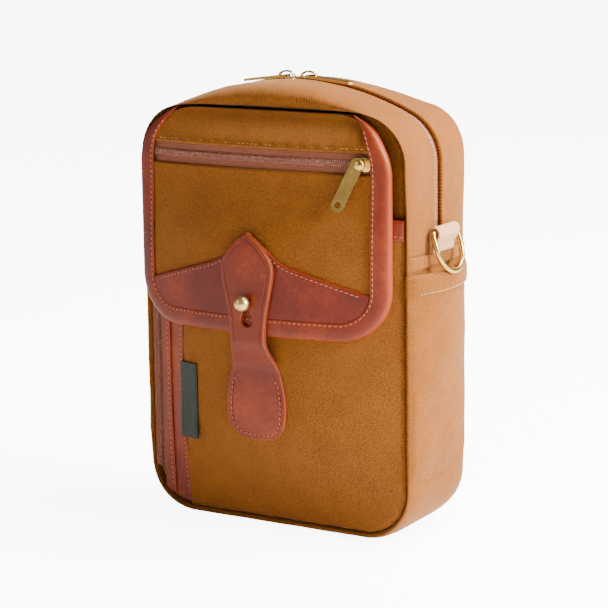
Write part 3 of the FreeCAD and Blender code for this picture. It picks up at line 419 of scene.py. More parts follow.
def ribbed(name, dark, light, pitch, roughness=0.7, sheen=0.15):
    """Woven tape or webbing: ribs across the run, broken by fine yarns."""
    made, tree, main = shader(name, roughness)
    place = cloth_place(tree)
    x, y = weave_parts(tree, place)
    rib = stripes(tree, x, y, 1.0, 0.0, pitch)
    pick = stripes(tree, x, y, 0.0, 1.0, pitch * 0.8)
    yarn = noise(tree, place, 1100, 2.0)
    patch = noise(tree, place, 40, 2.0)
    body = weighed(tree, (rib, 0.5), (pick, 0.25))
    tone = weighed(tree, (body, 0.6), (yarn, 0.3), (patch, 0.25))
    wire(tree, ramp(tree, tone, ((0.25, dark), (0.8, light))), main.inputs["Base Color"])
    main.inputs["Sheen Weight"].default_value = sheen
    bump(tree, main, body, 0.18 * mm, 0.8)
    return made


def moulded(name, dark, light, roughness=0.45):
    """Nylon, foam or board, and the painted shade of stitch holes: a fine speckle over one tone."""
    made, tree, main = shader(name, roughness)
    place = object_place(tree)
    speck = noise(tree, place, 700, 3.0)
    wire(tree, ramp(tree, speck, ((0.3, dark), (0.7, light))), main.inputs["Base Color"])
    bump(tree, main, speck, 0.04 * mm, 0.4)
    return made


canvas = twill("twill_canvas", linear(82, 42, 7), linear(152, 92, 32))
canvas_back = twill("plain_cloth", linear(100, 58, 24), linear(160, 104, 56), 0.8 * mm)
leather = hide("bridle_leather", linear(88, 26, 4), linear(110, 37, 7), linear(138, 56, 16))
leather_dark = hide("yoke_leather", linear(80, 20, 3), linear(100, 29, 5), linear(124, 46, 12), 0.46)
thread = ribbed("waxed_thread", linear(170, 78, 44), linear(212, 128, 86), 0.5 * mm, 0.6)
# Painted shade: a dark tone for the marks laid between leather stitches, standing in for the shade inside awl
# holes that are not cut.
hole_shade_paint = moulded("stitch_hole_painted_shade", linear(70, 18, 6), linear(96, 28, 10), 0.8)
thread_tan = ribbed("tan_thread", linear(150, 106, 58), linear(214, 166, 112), 0.5 * mm, 0.65)
brass = brass_finish("lacquered_brass", linear(216, 176, 96))
brass_pale = brass_finish("stud_brass", linear(226, 190, 124), 0.34)
tape_weave = ribbed("zip_tape_weave", linear(90, 40, 20), linear(142, 78, 46), 0.9 * mm, sheen=0.0)
coil_nylon = moulded("zip_coil_nylon", linear(112, 62, 48), linear(170, 112, 90), 0.4)
webbing = ribbed("ring_webbing", linear(150, 96, 54), linear(224, 176, 126), 1.3 * mm, 0.75)
belt_webbing = ribbed("belt_webbing", linear(92, 56, 26), linear(156, 106, 60), 1.6 * mm, 0.75)
label_satin = ribbed("label_satin", linear(1, 17, 4), linear(5, 38, 12), 0.5 * mm, 0.55, sheen=0.0)
lining_cloth = ribbed("lining_cloth", linear(96, 84, 62), linear(152, 136, 106), 0.7 * mm, 0.8)
foam = moulded("closed_cell_foam", linear(36, 36, 38), linear(62, 62, 64), 0.9)
board = moulded("stiffener_board", linear(24, 24, 26), linear(44, 44, 46), 0.7)


# ------------------------------------------------------------ outlines
def straight(start, end, count):
    """Points and right-hand normals along a straight run, without its last point."""
    t = np.linspace(0, 1, count, endpoint=False)[:, None]
    start, end = np.array(start, float), np.array(end, float)
    points = start + (end - start) * t
    way = (end - start) / np.linalg.norm(end - start)
    return points, np.tile([way[1], -way[0]], (count, 1))


def bend(centre, radius, start, end, count):
    """Points and outward normals along an arc, angles in degrees, without its last point."""
    a = np.radians(np.linspace(start, end, count, endpoint=False))
    out = np.stack([np.cos(a), np.sin(a)], -1)
    return np.array(centre) + radius * out, out


def chain(*runs):
    """Joins runs of points and normals, and gives the length along them too."""
    points = np.concatenate([r[0] for r in runs])
    out = np.concatenate([r[1] for r in runs])
    return points, out, run_along(points)


def closed_by(run, last_point, last_out):
    return np.concatenate([run[0], [last_point]]), np.concatenate([run[1], [last_out]])


def gap_to(points, line, closed=False):
    """Distance from each point to a polyline, all in one plane."""
    flat = points.reshape(-1, 2)
    ends = np.roll(line, -1, axis=0) if closed else line[1:]
    starts = line if closed else line[:-1]
    nearest = np.full(len(flat), np.inf)
    for start, end in zip(starts, ends):
        way = end - start
        t = np.clip((flat - start) @ way / max(way @ way, 1e-18), 0, 1)
        nearest = np.minimum(nearest, np.linalg.norm(flat - start - t[:, None] * way, axis=1))
    return nearest.reshape(points.shape[:-1])


def rounding(distance, radius):
    """How far a rounded edge has dropped, as a quarter circle, at a distance in from the edge."""
    t = np.clip(1 - distance / radius, 0, 1)
    return radius * (1 - np.sqrt(1 - t * t))


def through(points, count):
    """A smooth curve through a few points: Catmull and Rom's cubic, evenly split between them."""
    p = np.array(points, float)
    p = np.concatenate([[2 * p[0] - p[1]], p, [2 * p[-1] - p[-2]]])
    t = np.linspace(0, len(p) - 3, count)
    i = np.minimum(t.astype(int), len(p) - 4)
    f = (t - i)[:, None]
    a, b, c, d = p[i], p[i + 1], p[i + 2], p[i + 3]
    return 0.5 * (2 * b + (c - a) * f + (2 * a - 5 * b + 4 * c - d) * f**2 + (3 * b - a - 3 * c + d) * f**3)


# ------------------------------------------------------------ the front's curved faces
def fullness(z, bulge):
    """How far the front stands out at a height: full, a level shelf at the flap's zip, then nothing."""
    rise = smooth((z - seam_bottom) / bulge_rise)
    shelf_low, shelf_high = window_low - shelf_margin, window_high + shelf_margin
    out = zip_shelf + (bulge * rise - zip_shelf) * (1 - smooth((z - fade_start) / (shelf_low - fade_start)))
    return out * (1 - smooth((z - shelf_high) / (fold_z - shelf_high)))


pocket_middle = (seam_half + guard_edge) / 2
pocket_reach = (seam_half - guard_edge) / 2


def pocket_front(x, z):
    """An arch across from the zip's guard to the far seam, times the fullness at that height."""
    arch = np.maximum(0, 1 - ((x - pocket_middle) / pocket_reach) ** 2)
    return -panel_face - fullness(z, front_bulge) * arch


def flap_front(x, z):
    """The same arch about the flap's own middle; above the zip's window it settles back to the seam."""
    arch = np.maximum(0, 1 - ((x - flap_x) / flap_reach) ** 2)
    start = window_high + shelf_margin
    settled = (backing_near - 0.4 * mm) * smooth((z - start) / (fold_z - start))
    return -panel_face - fullness(z, flap_bulge) * arch + settled


def ripple(a, b, size, seed):
    """A soft unevenness of two crossed waves at three scales; size is its height."""
    total = 0
    for n, (p, q) in enumerate(((61, 47), (29, 37), (17, 13))):
        first = np.sin(a * TAU / (p * mm) + seed + n)
        second = np.sin(b * TAU / (q * mm) + 2 * seed - n)
        total = total + first * second / (n + 1.5)
    return size * total


def placed(x, y, z):
    return np.stack(np.broadcast_arrays(x, y, z), -1)


# ------------------------------------------------------------ shell
corner_x = half_width - shoulder_radius
corner_z = crown_centre + math.sqrt((crown_radius - shoulder_radius) ** 2 - corner_x**2)
lean = math.degrees(math.atan2(corner_x, corner_z - crown_centre))
foot_x = half_width - foot_radius
visible_seam = -0.7 * mm
rolled = 3.6 * mm
top_roll = 5.6 * mm
roll_back = 11 * mm
rear_back = 17 * mm
crest = 0.42
wall = 3.0 * mm
seam_y = panel_face - 0.9 * mm


def outline_pair(part):
    """Matching runs of the pouch's outline and of the panel seam, for the lower or the upper gusset."""
    sx = seam_half - visible_seam
    low, high = seam_bottom + visible_seam, seam_top - visible_seam
    r = seam_radius - visible_seam
    cx, cz = sx - r, high - r
    if part == "lower":
        outer = chain(
            straight((-half_width, joint_z), (-half_width, foot_radius), 70),
            bend((-foot_x, foot_radius), foot_radius, 180, 270, 40),
            straight((-foot_x, 0), (foot_x, 0), 70),
            bend((foot_x, foot_radius), foot_radius, 270, 360, 40),
            closed_by(
                straight((half_width, foot_radius), (half_width, joint_z), 70), (half_width, joint_z),
                (1, 0),
            ),
        )
        inner = chain(
            straight((-sx, joint_z), (-sx, low + r), 70),
            bend((-cx, low + r), r, 180, 270, 40),
            straight((-cx, low), (cx, low), 70),
            bend((cx, low + r), r, 270, 360, 40),
            closed_by(straight((sx, low + r), (sx, joint_z), 70), (sx, joint_z), (1, 0)),
        )
        return outer, inner
    outer = chain(
        straight((half_width, joint_z), (half_width, corner_z), 26),
        bend((corner_x, corner_z), shoulder_radius, 0, 90 - lean, 36),
        bend((0, crown_centre), crown_radius, 90 - lean, 90 + lean, 90),
        bend((-corner_x, corner_z), shoulder_radius, 90 + lean, 180, 36),
        closed_by(
            straight((-half_width, corner_z), (-half_width, joint_z), 26), (-half_width, joint_z), (-1, 0),
        ),
    )
    inner = chain(
        straight((sx, joint_z), (sx, cz), 26),
        bend((cx, cz), r, 0, 90, 36),
        straight((cx, high), (-cx, high), 90),
        bend((-cx, cz), r, 90, 180, 36),
        closed_by(straight((-sx, cz), (-sx, joint_z), 26), (-sx, joint_z), (-1, 0)),
    )
    return outer, inner


def roll_profile():
    """From the seam out: share of the way to the outline, and depth in terms of the roll and its back.

    It leaves the seam steeply, crests near the middle and turns back as a long quarter ellipse.
    The depth is given as two shares: of the roll's height, and of the run back along the side.
    """
    a = np.linspace(0, math.pi / 2, 11, endpoint=False)
    b = np.linspace(0, math.pi / 2, 22)
    share = np.concatenate([crest * (1 - np.cos(a)), crest + (1 - crest) * np.sin(b)])
    height = np.concatenate([np.sin(a), np.cos(b)])
    behind = np.concatenate([0 * a, 1 - np.cos(b)])
    return share, height, behind


def gusset_grid(part, front_end, rear_end, seed):
    """Outer and inner skins of a gusset between two depths; a whole one has a roll at both ends."""
    (outer, out, run), (inner, _, _) = outline_pair(part)
    share, height, behind = roll_profile()
    puff = rolled + (top_roll - rolled) * smooth((outer[:, 1] - joint_z) / (60 * mm)) * (part == "upper")
    plump = puff * (1 + 0.05 * np.sin(run * TAU / (37 * mm) + seed))
    shares, depths = [], []
    start = roll_back - seam_y if front_end == "roll" else front_end
    stop = seam_y - rear_back if rear_end == "roll" else rear_end
    straight_part = np.linspace(start, stop, 30)
    if front_end == "roll":
        shares.append(share)
        depths.append(-seam_y - plump[:, None] * height + roll_back * behind)
        straight_part = straight_part[1:]
    if rear_end == "roll":
        straight_part = straight_part[:-1]
    shares.append(np.ones(len(straight_part)))
    depths.append(np.broadcast_to(straight_part, (len(run), len(straight_part))))
    if rear_end == "roll":
        shares.append(share[::-1])
        depths.append(seam_y + plump[:, None] * height[::-1] - rear_back * behind[::-1])
    share = np.concatenate(shares)
    y = np.concatenate(depths, 1)
    flat = inner[:, None] + (outer - inner)[:, None] * share[:, None]
    soft = ripple(run[:, None], y + 0.3, 0.25 * mm, seed) * share**2
    soft = soft * smooth(np.abs(flat[..., 1]) / (12 * mm)) * smooth(np.abs(y) / (9 * mm))
    skin = flat + out[:, None] * soft[..., None]
    outside = placed(skin[..., 0], y, skin[..., 1])
    sunk = flat - out[:, None] * (wall * (0.4 + 0.6 * share))[:, None]
    inside_y = np.clip(y, -seam_y + 0.6 * wall, seam_y - 0.6 * wall)
    inside = placed(sunk[..., 0], inside_y, sunk[..., 1])
    girth = np.concatenate([[0], np.cumsum(np.hypot(np.diff(share) * 5 * mm, np.diff(y[0])))])
    uv = crossed(girth, run)
    return outside, inside, uv


def make_shell():
    lower = closed_slab("lower_gusset_cloth", *gusset_grid("lower", "roll", "roll", 0.4), canvas)
    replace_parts(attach(lower, "pouch"), "lower_gusset")
    front = closed_slab("crown_front_cloth", *gusset_grid("upper", "roll", -zip_half_gap, 1.1), canvas)
    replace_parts(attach(front, "pouch"), "upper_gusset_front")
    rear = closed_slab("crown_rear_cloth", *gusset_grid("upper", zip_half_gap, "roll", 2.3), canvas)
    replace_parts(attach(rear, "pouch"), "upper_gusset_rear")


# ------------------------------------------------------------ pieces laid over a face
def laid(name, x, z, face, near, far, border, material, edge=1.0 * mm, extra=0, lip=None, closed=True):
    """A closed wall over a face: x and z are grids, border the outline that its front edge rounds to.

    extra is added outwards to the front, on the same grid.
    """
    distance = gap_to(np.stack([x, z], -1), border, closed)
    drop = rounding(distance, edge) * min(1.0, (far - near) / edge * 0.92)
    front = placed(x, face(x, z) - far + drop - extra, z)
    back = placed(x, face(x, z) - near, z)
    made = closed_slab(name, front, back, np.stack([x, z], -1), material)
    if lip is not None:
        mark(made, lip, np.concatenate([distance.ravel()] * 2))
    return made


def attribute(made, name, values):
    data = made.data.attributes.new(name, "FLOAT", "POINT").data
    data.foreach_set("value", values.astype(np.float32))


def worn_by(distance, width):
    return np.exp(-((distance / width) ** 2))


def creased_by(distance, crease_at):
    return np.exp(-(((distance - crease_at) / (0.4 * mm)) ** 2))


def mark(made, wear_width, distance, crease_at=None):
    """Attributes for leather: wear along the edge, and a tooled crease a little way in."""
    attribute(made, "wear", worn_by(distance, wear_width))
    line = np.zeros(len(distance)) if crease_at is None else creased_by(distance, crease_at)
    attribute(made, "crease", line)


def seam_border(inset, top, left=None):
    """Right side, base and left side of the panel seam, up to a height."""
    sx, low, r = seam_half - inset, seam_bottom + inset, seam_radius - inset
    cx = sx - r
    return chain(
        straight((-sx if left is None else left, top), (-sx if left is None else left, low + r), 24),
        bend((-cx, low + r), r, 180, 270, 24),
        straight((-cx, low), (cx, low), 40),
        bend((cx, low + r), r, 270, 360, 24),
        closed_by(straight((sx, low + r), (sx, top), 40), (sx, top), (1, 0)),
    )[0]


def seam_rows(top, inset, low_count=26, high_count=90):
    """Heights up a panel, close together at the base corners, and half the seam's width at each."""
    r = seam_radius - inset
    low = seam_bottom + inset
    a = np.linspace(0, math.pi / 2, low_count, endpoint=False)
    z = np.concatenate([low + r - r * np.cos(a), np.linspace(low + r, top, high_count)])
    half = seam_half - inset - r + r * np.sqrt(np.clip(1 - ((low + r - z) / r) ** 2, 0, 1))
    half[z > low + r] = seam_half - inset
    return z, half


def make_front_pocket():
    """Canvas over the bellows, with small puckers where the seam draws it in."""
    inset = -0.3 * mm
    z, half = seam_rows(pocket_top, inset)
    t = dense(110, 0.012)
    left = np.maximum(-half, guard_end)
    x = left[:, None] + (half - left)[:, None] * t
    z = grid_of(z, x)
    border = seam_border(inset, pocket_top + 20 * mm, guard_end)
    distance = gap_to(np.stack([x, z], -1), border)
    pucker = 0.28 * mm * np.sin((x + z * 0.9) * TAU / (15 * mm)) * np.exp(-distance / (7 * mm))
    extra = pucker + ripple(x, z, 0.16 * mm, 0.7)
    made = laid(
        "bellows_pocket", x, z, pocket_front, 0, pocket_far + 0.9 * mm, border, canvas, 4.0 * mm, extra,
        closed=False,
    )
    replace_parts(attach(made, "pouch"), "front_pocket")
    low, high = corners("pocket_binding")
    zs = spread(low[2], high[2] + 0.6 * mm, 12, 0.06)
    xs = spread(low[0], half[-1], 60, 0.01)
    x, z = np.meshgrid(xs, zs)
    border = np.array([(xs[0], zs[0]), (xs[-1], zs[0]), (xs[-1], zs[-1]), (xs[0], zs[-1])])
    trim = laid(
        "pocket_mouth_leather", x, z, pocket_front, pocket_far, pocket_far + 1.5 * mm, border, leather,
        1.1 * mm, 0, 0.7 * mm,
    )
    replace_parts(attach(trim, "pouch"), "pocket_binding")
    stitch_run(
        "pocket_mouth_stitches", pocket_front, [(xs[0], low[2] + 2.6 * mm), (xs[-1], low[2] + 2.6 * mm)],
        pocket_far + 1.5 * mm, thread, "pouch",
    )


def make_guard():
    """Two layers of leather beside the pocket's zip, each with its row of stitches."""
    inset = 1.3 * mm
    top = corners("zip_guard")[1][2]
    for name, low_x, high_x, near, far, node in (
        ("zip_guard_leather", guard_edge, guard_end + 0.8 * mm, 0.2 * mm, pocket_far + 0.9 * mm, "zip_guard"),
        (
            "zip_welt_leather", guard_edge, corners("guard_welt")[1][0], pocket_far + 0.9 * mm,
            pocket_far + 2.2 * mm, "guard_welt",
        ),
    ):
        z, half = seam_rows(top, inset, 26, 70)
        keep = -half < high_x - 1.5 * mm
        z, half = z[keep], half[keep]
        left = np.maximum(-half, low_x)
        x = left[:, None] + (high_x - left)[:, None] * dense(14, 0.06)
        zz = grid_of(z, x)
        border = np.concatenate([np.stack([x[:, 0], z], -1), np.stack([x[::-1, -1], z[::-1]], -1)])
        made = laid(name, x, zz, pocket_front, near, far, border, leather, 0.9 * mm, 0, 0.7 * mm)
        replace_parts(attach(made, "pouch"), node)
        line_x = high_x - 1.9 * mm
        foot = z[0] + 5 * mm
        stitch_run(f"{node}_stitches", pocket_front, [(line_x, foot), (line_x, top)], far, thread, "pouch")


# ------------------------------------------------------------ stitches
def stitch_template():
    """A short thread: a capsule of six sides, blunt at both ends; x along, z up, unit half length."""
    along = np.array([-1, -0.86, -0.45, 0, 0.45, 0.86, 1.0])
    girth = np.array([0.05, 0.62, 0.95, 1.0, 0.95, 0.62, 0.05])
    a = np.linspace(0, TAU, 6, endpoint=False)
    x = np.broadcast_to(along[:, None], (7, 6))
    points = placed(x, girth[:, None] * np.cos(a), girth[:, None] * np.sin(a))
    return points.reshape(-1, 3), grid_faces(7, 6, close_columns=True)


def copies(shape, quads, points, ways, sides, ups):
    """A shape at each point, turned to its way, side and up: all the vertices and faces."""
    verts = (
        points[:, None]
        + shape[None, :, :1] * ways[:, None]
        + shape[None, :, 1:2] * sides[:, None]
        + shape[None, :, 2:] * ups[:, None]
    )
    starts = np.arange(len(points))[:, None, None] * len(shape)
    return verts.reshape(-1, 3), (quads[None] + starts).reshape(-1, 4)


def sewn(
    name, points, ways, ups, material, body, length=2.9 * mm, radius=0.36 * mm, tilt=0.0,
):
    """Stitches at points, each along its way and lying on the face whose normal is up."""
    shape, quads = stitch_template()
    sides = np.cross(ups, ways)
    if tilt:
        ways = ways * math.cos(tilt) + sides * math.sin(tilt)
        sides = np.cross(ups, ways)
    shape = shape * (length / 2, radius, radius)
    verts, faces = copies(shape, quads, points, ways, sides, ups)
    uv = np.tile(shape[:, :2], (len(points), 1))
    made = mesh_object(name, verts, faces, uv, material)
    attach(made, body)
    return made


def even_line(line, pitch):
    """Points evenly spaced along a polyline in the XZ plane, and the way along it at each."""
    line = np.array(line, float)
    run = run_along(line)
    count = max(2, int(run[-1] / pitch))
    s = (np.arange(count) + 0.5) * run[-1] / count
    here = np.stack([np.interp(s, run, line[:, k]) for k in (0, 1)], -1)
    ahead = np.stack([np.interp(s + 0.2 * mm, run, line[:, k]) for k in (0, 1)], -1)
    behind = np.stack([np.interp(s - 0.2 * mm, run, line[:, k]) for k in (0, 1)], -1)
    return here, ahead - behind


def on_face(face, flat, way, off):
    """Points lifted onto a face, with unit ways along it and its outward normal."""
    step = 0.3 * mm
    x, z = flat[:, 0], flat[:, 1]
    y = face(x, z)
    slope_x = (face(x + step, z) - face(x - step, z)) / (2 * step)
    slope_z = (face(x, z + step) - face(x, z - step)) / (2 * step)
    up = placed(slope_x, -np.ones_like(x), slope_z)
    up = unit(up)
    along = placed(way[:, 0], slope_x * way[:, 0] + slope_z * way[:, 1], way[:, 1])
    along = unit(along)
    return placed(x, y - off, z), along, up


def stitch_run(
    name, face, line, off, material, body, pitch=2.9 * mm, slot="leather", length=2.1 * mm,
    radius=0.25 * mm,
):
    """A row of slightly slanted stitches along a line over a face, and painted shade of the awl's holes
    between them: small dark marks sitting on the surface.
    """
    flat, way = even_line(line, pitch)
    points, along, up = on_face(face, flat, way, off - 0.05 * mm)
    sewn(name, points, along, up, material, body, length, radius, 0.18)
    if slot == "leather":
        # Painted shade: on leather, small dark marks between the stitches stand in for the shade inside the
        # awl holes.
        between = (flat[1:] + flat[:-1]) / 2
        points, along, up = on_face(face, between, way[1:], off + 0.02 * mm)
        sewn(f"{name}_holes", points, along, up, hole_shade_paint, body, 0.9 * mm, 0.3 * mm)


# ------------------------------------------------------------ panels
def make_panels():
    """The two quilted faces under everything, slightly full between their seams."""
    inset = 0.8 * mm
    top = seam_top - inset
    for name, side, node in (("front_face", -1, "front_panel"), ("rear_face", 1, "rear_panel")):
        r = seam_radius - inset
        a = np.linspace(0, math.pi / 2, 22)
        low, high = seam_bottom + inset, top
        z = np.concatenate(
            [low + r - r * np.cos(a), np.linspace(low + r, high - r, 60)[1:-1], high - r + r * np.sin(a)]
        )
        off = np.maximum(np.maximum(low + r - z, z - (high - r)), 0)
        half = seam_half - inset - r + np.sqrt(r * r - off * off)
        t = np.linspace(-1, 1, 81)
        x = half[:, None] * t
        zz = grid_of(z, x)
        swell = (1 - t**2) * (1 - ((zz - (low + high) / 2) / ((high - low) / 2)) ** 2)
        full = 1.6 * mm * swell if side > 0 else 0 * swell
        edge = rounding((1 - np.abs(t)) * half[:, None], 2 * mm) * 0.6
        wave = ripple(x, zz, 0.15 * mm, 3.1) * swell if side > 0 else 0
        front = placed(x, side * (panel_face + full - edge + wave), zz)
        back = placed(x, side * (panel_face - 3 * mm), zz)
        made = closed_slab(name, front, back, np.stack([x, zz], -1), canvas)
        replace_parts(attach(made, "pouch"), node)


# ------------------------------------------------------------ flap
arch_top = seam_top + 1 * mm
flap_corner = 28 * mm
flap_shoulder = 34 * mm
inner_arch_top = seam_top + 10 * mm
inner_shoulder = 40 * mm
binding_width = 10.5 * mm
yoke_inset = 10.6 * mm

# The binding's section, in from the flap's edge and off the surface below, in millimetres: the leather's
# face from its inner edge round to the back, and its hidden side.
binding_face = [
    (10.5, 8.8), (10.45, 9.7), (10.2, 10.1), (9.7, 10.3), (8.9, 10.15), (8.0, 10.3), (6.5, 10.35),
    (5.0, 10.35), (3.6, 10.3), (2.4, 10.15), (1.5, 9.85), (0.8, 9.3), (0.3, 8.7), (0, 7.7),
    (0, 6.7), (0.3, 5.8), (0.8, 5.2), (1.5, 4.9),
]
binding_hidden = [
    (10.3, 8.82), (9.9, 8.82), (9.5, 8.82), (9, 8.82), (8.5, 8.82), (8, 8.82), (7, 8.82), (6, 8.82),
    (5, 8.82), (4, 8.82), (3, 8.82), (2.4, 8.8), (2.0, 8.75), (1.8, 8.4), (1.75, 7.6), (1.7, 6.6),
    (1.65, 5.8), (1.6, 5.1),
]


def flap_half_at(z, inset):
    """Half the flap's width at a height, in from its outline."""
    low_r, high_r = flap_corner - inset, flap_shoulder - inset
    low_z = flap_bottom + inset + low_r
    high_z = arch_top - inset - high_r
    off_low = np.clip((low_z - z) / low_r, 0, 1)
    off_high = np.clip((z - high_z) / high_r, 0, 1)
    half = flap_reach - inset
    return half - low_r * (1 - np.sqrt(1 - off_low**2)) - high_r * (1 - np.sqrt(1 - off_high**2))


def flap_line(inset, closing=None, shoulder=None):
    """The flap's outline, in by inset, from its top left down, across and up again.

    closing and shoulder are where it would close at the top and the radius of its shoulders there.
    """
    r = flap_corner - inset
    rh = flap_shoulder - inset if shoulder is None else shoulder
    high = arch_top - inset if closing is None else closing
    half, low, top = flap_reach - inset, flap_bottom + inset, min(flap_top, high - 0.01 * mm)
    end = math.asin(min(1, (top - (high - rh)) / rh))
    stop = (math.cos(end), math.sin(end))
    left, right = flap_x - half, flap_x + half
    end = math.degrees(end)
    return chain(
        bend((left + rh, high - rh), rh, 180 - end, 180, 60),
        straight((left, high - rh), (left, low + r), 60),
        bend((left + r, low + r), r, 180, 270, 40),
        straight((left + r, low), (right - r, low), 80),
        bend((right - r, low + r), r, 270, 360, 40),
        straight((right, low + r), (right, high - rh), 60),
        closed_by(
            bend((right - rh, high - rh), rh, 0, end, 60),
            (right - rh + rh * stop[0], high - rh + rh * stop[1]), stop,
        ),
    )


def spread(low, high, count, edge):
    """Places from low to high, with extra ones close to both ends."""
    return low + (high - low) * dense(count, edge)


def make_flap_cloth():
    """Outer canvas above and below the zip's window, its edges turned, and the cloth behind."""
    inset = 1.7 * mm
    a = np.linspace(0.02, math.pi / 2, 24, endpoint=False)
    low_r = flap_corner - inset
    low = flap_bottom + inset
    curve = low + low_r - low_r * np.cos(a)
    lower = np.concatenate([curve, spread(low + low_r, window_low, 56, 0.03)])
    upper = spread(window_high, flap_top, 16, 0.12)
    for name, z, node in (
        ("flap_canvas", lower, "flap_cloth_lower"), ("flap_canvas_top", upper, "flap_cloth_upper"),
    ):
        half = flap_half_at(z, inset)
        x = flap_x + half[:, None] * (2 * dense(120, 0.006) - 1)
        zz = grid_of(z, x)
        turned = 1.5 * mm
        hem = np.minimum(np.abs(zz - window_low), np.abs(zz - window_high))
        bead = 0.5 * mm * np.exp(-((hem - 2.2 * mm) / (2.4 * mm)) ** 2)
        dip = -0.55 * mm * np.exp(-((hem - 2.4 * mm) / (0.5 * mm)) ** 2)
        pucker = 0.25 * mm * np.sin(x * TAU / (9 * mm)) * np.exp(-hem / (5 * mm))
        drop = rounding(hem, turned) * 0.9
        soft = ripple(x, zz, 0.16 * mm, 5.2)
        front = placed(x, flap_front(x, zz) - cloth_far + drop - bead - dip - pucker - soft, zz)
        back = placed(x, flap_front(x, zz) - cloth_near, zz)
        made = closed_slab(name, front, back, np.stack([x, zz], -1), canvas)
        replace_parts(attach(made, "flap"), node)
    for level, name in (
        (window_low - 2.4 * mm, "window_stitches_low"), (window_high + 2.4 * mm, "window_stitches_high"),
    ):
        reach = flap_reach - 11.5 * mm
        stitch_run(
            name, flap_front, [(flap_x - reach, level), (flap_x + reach, level)], cloth_far - 0.1 * mm,
            thread_tan, "flap", 2.8 * mm, "canvas", 2.0 * mm, 0.2 * mm,
        )
    z = np.concatenate([curve, spread(low + low_r, flap_top, 60, 0.02)])
    half = flap_half_at(z, inset)
    x = flap_x + half[:, None] * (2 * dense(60, 0.01) - 1)
    zz = grid_of(z, x)
    front, back = (placed(x, flap_front(x, zz) - off, zz) for off in (backing_far, backing_near))
    made = closed_slab("flap_inner_cloth", front, back, np.stack([x, zz], -1), canvas_back)
    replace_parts(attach(made, "flap"), "flap_backing")


def make_flap_binding():
    """Leather folded round the flap's edge: a section carried along the outline."""
    line, _, run = flap_line(0)
    inner = flap_line(binding_width, inner_arch_top, inner_shoulder)[0]
    face, hidden = np.array(binding_face) * mm, np.array(binding_hidden) * mm
    grids = []
    for section in (face, hidden):
        flat = line[:, None] + (inner - line)[:, None] * section[None, :, :1] / binding_width
        x, z = flat[..., 0], flat[..., 1]
        grids.append(placed(x, flap_front(x, z) - section[None, :, 1], z))
    girth = run_along(face)
    uv = crossed(girth, run)
    made = closed_slab("flap_edge_leather", grids[0], grids[1], uv, leather)
    inset = np.broadcast_to(face[None, :, 0], grids[0].shape[:2]).ravel()
    worn = np.minimum(inset, np.abs(yoke_inset - inset))
    mark(made, 1.1 * mm, np.concatenate([worn, worn]), 4.6 * mm)
    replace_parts(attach(made, "flap"), "flap_binding")
    seam = line + (inner - line) * 0.85
    seam = seam[seam[:, 1] < flap_top - 7 * mm]
    stitch_run("flap_edge_stitches", flap_front, seam, leather_far, thread, "flap")


def ogee(x):
    """Height of the yoke's edge across the flap: a peak in the middle, sweeping down to the binding."""
    inner = flap_reach - binding_width
    share = np.array([0, 0.12, 0.3, 0.62, 1.0])
    rise = np.array([1, 0.97, 0.6, 0.32, 0.0])
    fine = through(
        np.stack([np.concatenate([-share[:0:-1], share]), np.concatenate([rise[:0:-1], rise])], -1), 200,
    )
    low, peak = 140 * mm, 165 * mm
    return low + (peak - low) * np.interp((x - flap_x) / inner, fine[:, 0], fine[:, 1])


def make_yoke():
    """Leather below the ogee edge, inside the binding."""
    inset = yoke_inset
    reach = flap_reach - inset
    r = flap_corner - inset
    x = flap_x + reach * (2 * dense(150, 0.01) - 1)
    low = flap_bottom + inset
    side = np.clip((np.abs(x - flap_x) - (reach - r)) / r, 0, 1)
    foot = low + r * (1 - np.sqrt(1 - side**2))
    edge = np.maximum(ogee(x), foot + 0.05 * mm)
    z = foot + (edge - foot) * dense(40, 0.03)[:, None]
    xx = np.broadcast_to(x, z.shape)
    border = np.stack([x, edge], -1)
    made = laid(
        "yoke_leather_piece", xx, z, flap_front, cloth_far, leather_far, border, leather_dark, 0.9 * mm,
        0, 0.8 * mm, closed=False,
    )
    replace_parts(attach(made, "flap"), "flap_yoke")
    inner = x[(np.abs(x - flap_x) < reach - 5 * mm)]
    stitch_run(
        "yoke_stitches", flap_front, np.stack([inner, ogee(inner) - 2.2 * mm], -1), leather_far, thread,
        "flap",
    )


# ------------------------------------------------------------ tab
def tab_side():
    """The tab's right side from its tip down: half a leaf, a waist at the flap's edge and half a bulb."""
    above, below = tab_tip - flap_bottom, flap_bottom - tab_low
    waist = 10.9 * mm
    upper = [
        (0, 0), (0.52 * leaf_half, 0.11), (0.9 * leaf_half, 0.25), (leaf_half, 0.38),
        (0.86 * leaf_half, 0.6), (1.09 * waist, 0.8), (waist, 1),
    ]
    lower = [
        (0.62, 0.14), (0.81, 0.34), (0.96, 0.53), (1, 0.7), (0.9, 0.87), (0.56, 0.975), (0, 1),
    ]
    points = [(x, tab_tip - share * above) for x, share in upper]
    points += [(share_x * bulb_half, flap_bottom - share * below) for share_x, share in lower]
    return through(points, 260)


def tab_face(z):
    """Flat across: on the pocket low down, then climbing over the flap's edge on to the flap."""
    start, end = tab_fold, flap_bottom - 2 * mm
    climb = smooth((z - start) / (end - start))
    low = pocket_front(pocket_middle, z) - pocket_far
    high = flap_front(flap_x, z) - tongue_near
    return low + (high - low) * climb


def keyhole_line(angles):
    """Distance from the stud's centre to the keyhole's edge along each angle, measured from straight down."""
    round_part, foot, drop = 2.6 * mm, 3.6 * mm, 10 * mm
    side = np.sin(angles)
    down = np.cos(angles)
    reach = np.full_like(angles, round_part)
    inside = drop * down
    miss = np.abs(drop * side)
    hits = (miss < foot) & (down > 0)
    reach[hits] = np.maximum(reach[hits], inside[hits] + np.sqrt(foot**2 - miss[hits] ** 2))
    edge_angle = math.asin(foot / drop)
    soft = np.exp(-((np.abs(angles) - edge_angle) / 0.18) ** 2) * (down > 0) * 1.2 * mm
    return np.where(hits, reach, reach + soft)


